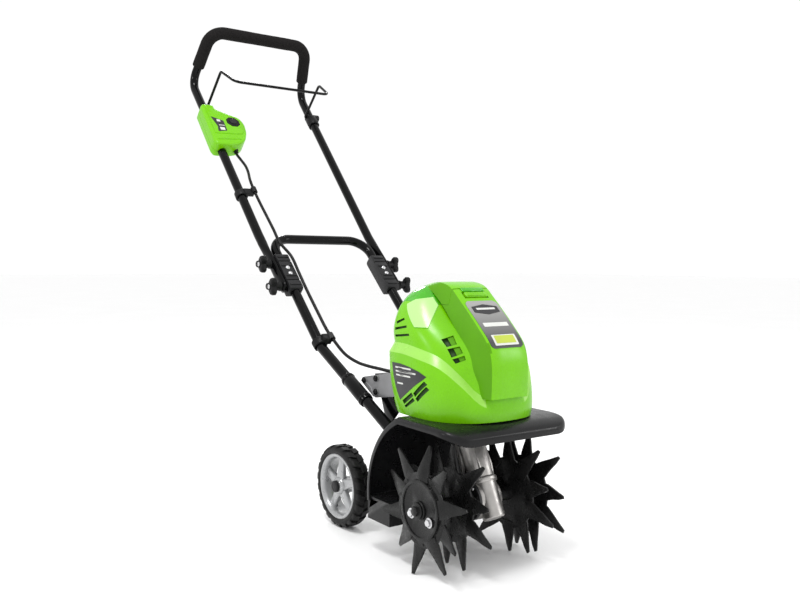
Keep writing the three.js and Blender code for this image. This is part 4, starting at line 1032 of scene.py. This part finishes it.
WHEEL_OUT = 105.8
TYRE_WIDTH = 32
RIM_R = 58.5
HUB_LOW, HUB_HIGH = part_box("wheel_axle")
WHEEL_Y = ((HUB_LOW.y + HUB_HIGH.y) / 2 - AXLE_Y) / MM
WHEEL_Z = (HUB_LOW.z + HUB_HIGH.z) / 2 / MM
TYRE_R = WHEEL_Z
LUGS = 22
LUG_SHARE = 0.3                 # half the width of a lug, as a share of the pitch
LUG_SKEW = 0.006                # turn in radians for each millimetre out from the middle
SPOKES = 5
# radius, half width and depth of a spoke on its way out
SPOKE_LEVELS = ((12, 12, 10.4), (22, 10, 9.4), (40, 8.8, 7), (RIM_R - 6, 10.4, 6.4))


def lug(x0, x1, turn, width, skew):
    """A tread block from x0 at the middle of the tyre to x1 on its shoulder."""
    edge = [(x0, TYRE_R - 5), (x0, TYRE_R), (lerp(x0, x1, 0.62), TYRE_R),
            (lerp(x0, x1, 0.9), TYRE_R - 2.2), (x1, TYRE_R - 8), (lerp(x0, x1, 0.92), TYRE_R - 9)]
    rings = []
    for side in (turn - width, turn + width):
        angles = [side + skew * abs(x) for x, _ in edge]
        rings.append([(x, r * math.sin(a), r * math.cos(a)) for (x, r), a in zip(edge, angles)])
    return softened(loft(rings), 0.5, 1, 20)


def tyre_mesh():
    """The tyre with a row of lugs on each half, set half a pitch apart."""
    half = TYRE_WIDTH / 2
    ring = turned([(RIM_R + 0.2, 1.5), (RIM_R + 2, 0.3), (RIM_R + 7, 0), (TYRE_R - 6, 1.2),
                   (TYRE_R - 3.6, 4), (TYRE_R - 3, 8), (TYRE_R - 2.8, half), (TYRE_R - 3, 24),
                   (TYRE_R - 3.6, 28), (TYRE_R - 6, 30.8), (RIM_R + 7, 32), (RIM_R + 2, 31.7),
                   (RIM_R + 0.2, 30.5)], (-half, 0, 0), (half, 0, 0), 88, wrap=True)
    pitch = 2 * math.pi / LUGS
    lugs = []
    for i in range(LUGS):
        lugs.append(lug(0.6, half - 0.4, i * pitch, LUG_SHARE * pitch, LUG_SKEW))
        lugs.append(lug(-0.6, -half + 0.4, (i + 0.5) * pitch, LUG_SHARE * pitch, LUG_SKEW))
    return merged(ring, *lugs)


def rim_mesh():
    """The wheel's moulded centre; its outer face looks along +x."""
    half = TYRE_WIDTH / 2
    barrel = turned([(RIM_R - 9, 1), (RIM_R, 1), (RIM_R, 30.6), (RIM_R - 1, 31.4), (RIM_R - 3.2, 31.6),
                     (RIM_R - 5, 30.6), (RIM_R - 7.4, 27), (RIM_R - 8.6, 22), (RIM_R - 9, 12)],
                    (-half, 0, 0), (half, 0, 0), 88, wrap=True)
    hub = turned([(5.2, 2), (15, 2), (17, 20), (16.6, 25), (15, 28.6), (12.6, 30.4), (5.2, 30.6)],
                 (-half, 0, 0), (half, 0, 0), 48, wrap=True)
    spokes = []
    for turn in arc(SPOKES):
        rings = []
        for radius, wide, deep in SPOKE_LEVELS:
            rings.append([(0, wide, radius), (0, -wide, radius), (deep * 0.75, -wide * 0.86, radius),
                          (deep, -wide * 0.62, radius), (deep, wide * 0.62, radius),
                          (deep * 0.75, wide * 0.86, radius)])
        spokes.append(moved(softened(loft(rings), 0.7, 2, 20), Matrix.Rotation(turn, 4, "X")))
    return merged(barrel, hub, *spokes)


def make_wheels():
    """Both transport wheels, with the carrier that they hang on."""
    for side, sign in SIDES:
        place = Matrix.Translation((sign * (WHEEL_OUT - TYRE_WIDTH / 2), WHEEL_Y, WHEEL_Z))
        turn = place @ Matrix.Scale(sign, 4, (1, 0, 0))
        body = f"wheel_{side}"
        piece(f"tyre_tread_{side}", moved(tyre_mesh(), turn), TYRE, body, f"tyre_{side}")
        piece(f"rim_spokes_{side}", moved(rim_mesh(), turn), SILVER_PLASTIC, body, f"wheel_rim_{side}")
        outer = sign * (WHEEL_OUT - 0.7)
        cap = turned([(5.3, 0), (10.5, 0), (10.5, 4), (9.6, 5), (7, 5.7), (5.3, 5.7)],
                     (outer, WHEEL_Y, WHEEL_Z), (outer + sign, WHEEL_Y, WHEEL_Z), 36, wrap=True)
        button = turned([(5.4, 4.2), (5.4, 5.2), (3, 5.7)], (outer, WHEEL_Y, WHEEL_Z),
                        (outer + sign, WHEEL_Y, WHEEL_Z), 24)
        piece(f"wheel_cap_{side}", merged(cap, button), GREY_PLASTIC, body, f"hub_cap_{side}")
    refined("wheel_carrier", BLACK_STEEL, "wheel_arm")
    refined("carrier_mount", BLACK_STEEL)
    refined("carrier_pin", ZINC, edge=1)
    repainted("wheel_axle", ZINC)


# ---------------- lower handle and clamps

CLAMP_X = 133
FOLD_PIVOT = (431, 433.3)
LOCK_KNOB = (475.5, 475.9)
FLAT_HALF = 5.5                 # half the thickness of the upper handle's flattened ends


def make_lower_handle():
    """One tube up the left side, across between the clamps and down the right side."""
    foot = on_line(FRAME_END, LOWER_BEND, 0.43)
    leg = [foot, LOWER_BEND, LOWER_TOP]
    corners = [(-LOWER_X, *p) for p in leg] + [(LOWER_X, *p) for p in reversed(leg)]
    piece("lower_handle_tube", swept(bent_path(corners, LOWER_BEND_R), TUBE_R, 40), BLACK_STEEL,
          replaces="lower_handle")


def knob_mesh(stud):
    """A three-lobed knob facing +x, with its stud pointing the other way."""
    def lobed(base, wave, x):
        radii = [(base + wave * math.cos(3 * a), a) for a in arc(72)]
        return [(x, radius * math.cos(a), radius * math.sin(a)) for radius, a in radii]

    grip = loft([lobed(10, 2.5, 11.6), lobed(12, 4, 12.2), lobed(13.5, 5, 14.5),
                 lobed(13.5, 5, 20.5), lobed(12.6, 4.6, 23), lobed(10.5, 3.6, 24)])
    neck = turned([(9.4, 0), (9.4, 2), (8, 6), (8.4, 12)], (0, 0, 0), (1, 0, 0), 36)
    rim = turned([(5.6, 23.4), (5.6, 25.2), (6.6, 25.2), (7.2, 23.4)], (0, 0, 0), (1, 0, 0), 36,
                 wrap=True)
    nut = rod((20, 0, 0), (25.2, 0, 0), 4.6, 24)
    shaft = rod((-stud, 0, 0), (1, 0, 0), 3.6, 20)
    return merged(grip, neck, rim), merged(nut, shaft)


def make_clamps():
    """The blocks that hold the two handles together, each with two knobs."""
    middle = on_line(FOLD_PIVOT, LOCK_KNOB, 0.5)
    slope = slope_between(LOWER_BEND, LOWER_TOP)
    place = Matrix.Translation((0, *middle)) @ Matrix.Rotation(slope, 4, "X")
    for side, sign in SIDES:
        refined(f"clamp_block_{side}", GREY_PLASTIC, edge=1.4)
        x0, x1 = sorted((sign * 101.5, sign * 125.2))
        ribs = [softened(box((x0, s - 2.2, 12.4), (x1, s + 2.2, 15.4)), 0.8)
                for s in (-38, -14, 14, 38)]
        piece(f"clamp_ribs_{side}", moved(merged(*ribs), place), GREY_PLASTIC)
        bolts = [dome((sign * 113, s, 13), (0, 0, 1), 5, 3.4) for s in (-8, 8)]
        piece(f"clamp_bolts_{side}", moved(merged(*bolts), place), ZINC)
        for name, spot, stud in (("fold_knob", FOLD_PIVOT, 12.8), ("lock_knob", LOCK_KNOB, 9.8)):
            turn = (Matrix.Translation((sign * (CLAMP_X + FLAT_HALF + 0.3), *spot))
                    @ Matrix.Scale(sign, 4, (1, 0, 0)))
            grip, metal = knob_mesh(stud)
            body = f"{name}_{side}"
            piece(f"{name}_grip_{side}", moved(grip, turn), BLACK_PLASTIC, body, body)
            piece(f"{name}_stud_{side}", moved(metal, turn), ZINC, body)


# ---------------- upper handle

UPPER_LOW = (540, 534.8)
UPPER_BEND = (876.5, 897.7)
UPPER_BEND_X = 142
GRIP_CORNER = (809, 1005)
GRIP_CORNER_X = 121.5
UPPER_BEND_R = 38
FOAM_R = 14
FOAM_START = 0.3
FLAT_END = -0.21                # where the flat ends start, as a share of the way between the knobs
FLAT_LONG = 96
ROUND_AFTER = 42                # the flat end turns round over this length
FLAT_REACH = 12


def dense(path, step):
    """The same line with no gap between its points longer than step."""
    points = [path[0]]
    for here, ahead in zip(path, path[1:]):
        count = max(1, math.ceil((ahead - here).length / step))
        points += [here.lerp(ahead, i / count) for i in range(1, count + 1)]
    return points


def from_ends(path):
    """Distance along the line from each of its points to the nearer end."""
    gone = [0.0]
    for here, ahead in zip(path, path[1:]):
        gone.append(gone[-1] + (ahead - here).length)
    return [min(distance, gone[-1] - distance) for distance in gone]


def make_upper_handle():
    """One tube from clamp to clamp by way of the grip bar, with flattened ends."""
    leg = [(CLAMP_X, *on_line(FOLD_PIVOT, LOCK_KNOB, FLAT_END)), (CLAMP_X, *UPPER_LOW),
           (UPPER_BEND_X, *UPPER_BEND), (GRIP_CORNER_X, *GRIP_CORNER)]
    corners = [(-x, y, z) for x, y, z in leg] + leg[::-1]
    path = dense(bent_path(corners, UPPER_BEND_R), 3)
    distances = from_ends(path)

    def section(i):
        share = max(0.0, min(1.0, (distances[i] - FLAT_LONG) / ROUND_AFTER))
        share = share * share * (3 - 2 * share)
        tip = math.sqrt(max(0.04, 1 - max(0.0, 1 - distances[i] / FLAT_REACH) ** 2))
        return lerp(FLAT_HALF, TUBE_R, share), lerp(FLAT_REACH, TUBE_R, share) * tip

    piece("upper_handle_tube", swept(path, TUBE_R, 40, section), BLACK_STEEL, "handle_top",
          "upper_handle")


def make_foam():
    """The foam grip: a slightly uneven sleeve that covers the bar and the start of both bends."""
    x = lerp(UPPER_BEND_X, GRIP_CORNER_X, FOAM_START)
    end = on_line(UPPER_BEND, GRIP_CORNER, FOAM_START)
    corners = [(-x, *end), (-GRIP_CORNER_X, *GRIP_CORNER), (GRIP_CORNER_X, *GRIP_CORNER), (x, *end)]
    path = dense(bent_path(corners, UPPER_BEND_R), 1.5)
    distances = from_ends(path)

    def section(i):
        radius = FOAM_R - 3.2 * max(0.0, 1 - distances[i] / 4) ** 2
        wave = 0.35 * noise.noise(path[i] * 0.05)
        return radius - 0.3 + wave, radius - 0.3 + wave

    foam = piece("foam_sleeve", swept(path, FOAM_R, 40, section), FOAM, "handle_top", "foam_grip")


# ---------------- switch box

UPPER_ORIGIN = (517, 510)
UPPER_SLOPE = slope_between(UPPER_ORIGIN, UPPER_BEND)
ON_LEG = Matrix.Translation((0, *UPPER_ORIGIN)) @ Matrix.Rotation(UPPER_SLOPE, 4, "X")
SWITCH_OUTLINE = [
    (-158, 300), (-154, 288), (-122, 288), (-95, 296), (-80, 312), (-70, 338), (-67, 366), (-74, 386),
    (-110, 402), (-122, 408), (-126, 412), (-126, 424), (-152, 424), (-158, 416),
]
SWITCH_FRONT = 22
SWITCH_BACK = 16
BUTTON_PLACE = (-96, 366)
BUTTON_R = 16
GLAND_PLACE = (-104, 293)


def on_upper(s, n=0.0):
    """y, z of a point at distance s up the upper leg and n above its axis."""
    return tuple((ON_LEG @ Vector((0, s, n))).yz)


def inset(outline, depth):
    """The outline drawn in by a small depth."""
    count = len(outline)
    area = sum(a[0] * b[1] - b[0] * a[1] for a, b in zip(outline, outline[1:] + outline[:1]))
    turn = 1 if area > 0 else -1
    points = []
    for i, (x, y) in enumerate(outline):
        (before_x, before_y), (after_x, after_y) = outline[i - 1], outline[(i + 1) % count]
        normal = Vector((before_y - after_y, after_x - before_x)).normalized() * turn
        points.append((x + normal.x * depth, y + normal.y * depth))
    return points


def crowned(outline, low, high, radius, steps=5):
    """An upright solid whose upper edge is rounded, and whose lower edge is just eased."""
    ease = math.copysign(0.5, high - low)
    rings = [[(x, y, low) for x, y in inset(outline, 0.5)], [(x, y, low + ease) for x, y in outline]]
    lift = math.copysign(radius, high - low)
    for a in arc(steps + 1, 0, math.pi / 2):
        edge = inset(outline, radius * (1 - math.cos(a)))
        rings.append([(x, y, high - lift * (1 - math.sin(a))) for x, y in edge])
    return loft(rings)


def disc_outline(radius, count, x, y, start=0.0):
    """A regular outline of count corners round a point."""
    return [(x + radius * math.cos(a), y + radius * math.sin(a)) for a in arc(count, start)]


# the raised panel on the front of the box, with the button and the sticker
PANEL_OUTLINE = [(-150, 322), (-84, 327), (-75, 342), (-73, 366), (-79, 381), (-112, 396),
                 (-148, 411)]
PANEL_TOP = SWITCH_FRONT + 1.4
STICKER_OUTLINE = [(-146, 378), (-119, 367), (-119, 333), (-141, 328), (-138, 346)]
STICKER_MARKS = ((-135, 362, -127, 369), (-134, 349, -121, 351), (-134, 334, -123, 343))


def button_well():
    """The eight-sided hole that the button sits in."""
    return upright(disc_outline(BUTTON_R + 0.8, 8, *BUTTON_PLACE, math.pi / 8), 12, 30)


def make_switch_box():
    """The green box on the left leg: two shells, the raised panel and the screws behind."""
    outline = rounded_outline(SWITCH_OUTLINE, 9, 5)
    panel = rounded_outline(PANEL_OUTLINE, 5, 4)
    front = carve(crowned(outline, 0.2, SWITCH_FRONT, 5), button_well())
    raised = carve(crowned(panel, SWITCH_FRONT - 1, PANEL_TOP, 1.2), button_well())
    rib = swept([(-147, 304, SWITCH_FRONT), (-92, 310, SWITCH_FRONT)], 1.5, 16)
    rear = crowned(outline, -0.2, -SWITCH_BACK, 5)
    for name, shell, node_name in (("switch_panel", merged(raised, rib), None),
                                   ("switch_front_shell", front, "switch_box_front"),
                                   ("switch_rear_shell", rear, "switch_box_rear")):
        piece(name, moved(shell, ON_LEG), LIME, "handle_top", node_name, smooth=28)
    screws = [dome((x, s, -SWITCH_BACK + 0.4), (0, 0, -1), 3, 1.6, 16) for x, s in
              ((-146, 306), (-90, 318), (-84, 380), (-146, 410))]
    piece("switch_screws", moved(merged(*screws), ON_LEG), ZINC, "handle_top")


def make_switch_parts():
    """The lock button with its pad, the micro switch inside, and the cable's gland."""
    x, s = BUTTON_PLACE
    button = crowned(disc_outline(BUTTON_R, 8, x, s, math.pi / 8), 12, SWITCH_FRONT + 2.2, 1.5)
    piece("lock_button_body", moved(button, ON_LEG), BLACK_PLASTIC, "button", "lock_button")
    pad = crowned(disc_outline(8, 40, x, s), SWITCH_FRONT, SWITCH_FRONT + 4, 1.2)
    piece("lock_button_pad", moved(pad, ON_LEG), GREY_PLASTIC, "button")
    refined("micro_switch", BLACK_PLASTIC, "handle_top", 0.6)
    x, s = GLAND_PLACE
    gland = turned([(3.3, -12), (5.6, -12), (5.6, -4), (6.4, -3), (6.4, -1), (5.2, 0), (4.6, 1.2),
                    (5.2, 2.4), (4.6, 3.6), (5.0, 4.8), (4.4, 6), (3.3, 6)],
                   (x, s, 0), (x, s - 1, 0), 32, wrap=True)
    piece("gland_body", moved(gland, ON_LEG), BLACK_PLASTIC, "handle_top", "cable_gland")


def make_switch_sticker():
    """A dark label on the panel, with three plain marks."""
    plate = upright(rounded_outline(STICKER_OUTLINE, 2, 3), PANEL_TOP - 0.3, PANEL_TOP + 0.3)
    piece("switch_sticker", moved(plate, ON_LEG), STICKER, "handle_top")
    marks = []
    for x0, s0, x1, s1 in STICKER_MARKS:
        outline = rounded_outline([(x0, s0), (x1, s0), (x1, s1), (x0, s1)], 0.8, 2)
        marks.append(upright(outline, PANEL_TOP, PANEL_TOP + 0.5))
    piece("switch_sticker_marks", moved(merged(*marks), ON_LEG), STICKER_LIGHT, "handle_top")


# ---------------- bail

BAIL_S = 447                    # its pivot, up the leg
BAIL_R = 3
BAIL_BENDS = (5, 9, 18)


def make_bail():
    """One bent rod from foot to foot, and the bracket on the right leg."""
    pivot = on_upper(BAIL_S)
    leg = [(137, *pivot), (126, *pivot), (124.5, 748, 903), (117, 689, 871)]
    corners = [(-x, y, z) for x, y, z in leg] + leg[::-1]
    path = bent_path(corners, BAIL_BENDS + BAIL_BENDS[::-1])
    piece("bail_rod", swept(path, BAIL_R, 24), BLACK_STEEL, "bail", "bail_lever")
    refined("bail_bracket", BLACK_PLASTIC, "handle_top", 1.2)


# ---------------- cable

CABLE_R = 3
# x, distance up the leg, height over it: from the switch box's gland down to the fold
CABLE_UPPER = [
    (-104, 286, 0), (-104, 279, 0), (-101, 261, 2), (-98, 240, 4), (-101, 215, 8), (-108, 185, 13),
    (-111, 150, 16), (-111, 110, 18), (-110, 70, 20), (-109, 30, 22), (-108.6, -10, 24),
]
# x, y, z: from the fold down to the housing's rear wall
CABLE_LOWER = [
    (-95, 470, 492), (-95, 440, 462), (-95, 405, 426), (-95, 365, 388), (-95, 330, 356),
    (-93, 303, 335), (-91, 270, 315), (-88, 235, 304), (-85, 205, 300), (-81, 175, 298),
    (-80, 150, 297.2), (-80, 128, 297),
]


def make_cable():
    """One cable from the gland to the housing, by way of the handle's fold."""
    route = [(x, *on_upper(s, n)) for x, s, n in CABLE_UPPER] + CABLE_LOWER
    cable = finish_mesh("cable_run", swept(spline(route, 8), CABLE_R, 20), [CABLE_BLACK], 60)
    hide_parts("cable_upper", "cable_lower")
    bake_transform(cable)
    refined("cable_clip_upper", BLACK_PLASTIC, "handle_top", 0.6)
    refined("cable_clip_lower", BLACK_PLASTIC, edge=0.6)


# ---------------- floor, light and camera

def make_stage():
    """A plain pale floor, wide enough to reach the horizon."""
    bpy.ops.mesh.primitive_plane_add(size=60)
    floor = bpy.context.object
    floor.name = "floor"
    floor.data.materials.append(FLOOR)


def area_light(name, place, target, size, power):
    """A soft square light that faces the target."""
    light = bpy.data.lights.new(name, "AREA")
    light.size = size
    light.energy = power
    obj = bpy.data.objects.new(name, light)
    obj.location = place
    obj.rotation_euler = (Vector(target) - Vector(place)).to_track_quat("-Z", "Y").to_euler()
    bpy.context.scene.collection.objects.link(obj)


def make_light():
    """An even white surround with four soft lights, places in metres."""
    world_light = bpy.data.worlds.new("studio")
    world_light.use_nodes = True
    background = world_light.node_tree.nodes["Background"]
    background.inputs["Color"].default_value = (1, 1, 1, 1)
    background.inputs["Strength"].default_value = 1.02
    bpy.context.scene.world = world_light
    area_light("key", (-0.9, -0.7, 2.8), (0, 0, 0.35), 0.6, 34)
    area_light("side", (-2.6, 0.2, 1.6), (0, 0, 0.4), 0.3, 9)
    area_light("fill", (2.0, -2.2, 1.2), (0, 0, 0.4), 0.8, 14)
    area_light("back", (0.8, 2.4, 2.2), (0, 0, 0.5), 0.6, 20)
    bpy.context.scene.view_settings.view_transform = "Standard"


CAMERA_PLACE = (-866.1, -1005.1, 479.1)
CAMERA_BACK = Vector((-0.5743, -0.8174, 0.0443))        # away from what it looks at
CAMERA_ROLL = math.radians(0.35)
CAMERA_LENS = 37.25


def make_camera():
    """A view from the front left, a little above the housing."""
    data = bpy.data.cameras.new("camera")
    data.lens = CAMERA_LENS
    data.sensor_width = 36
    camera = bpy.data.objects.new("camera", data)
    turn = CAMERA_BACK.to_track_quat("Z", "Y").to_matrix().to_4x4()
    camera.matrix_world = (Matrix.Translation(world(*CAMERA_PLACE)) @ turn
                           @ Matrix.Rotation(CAMERA_ROLL, 4, "Z"))
    bpy.context.scene.collection.objects.link(camera)
    bpy.context.scene.camera = camera


make_camera()
make_stage()
make_light()
make_tines()
make_gearbox()
make_guard()
make_housing()
make_lid()
make_latch()
make_labels()
make_insides()
make_frame()
make_wheels()
make_lower_handle()
make_clamps()
make_upper_handle()
make_foam()
make_switch_box()
make_switch_parts()
make_switch_sticker()
make_bail()
make_cable()
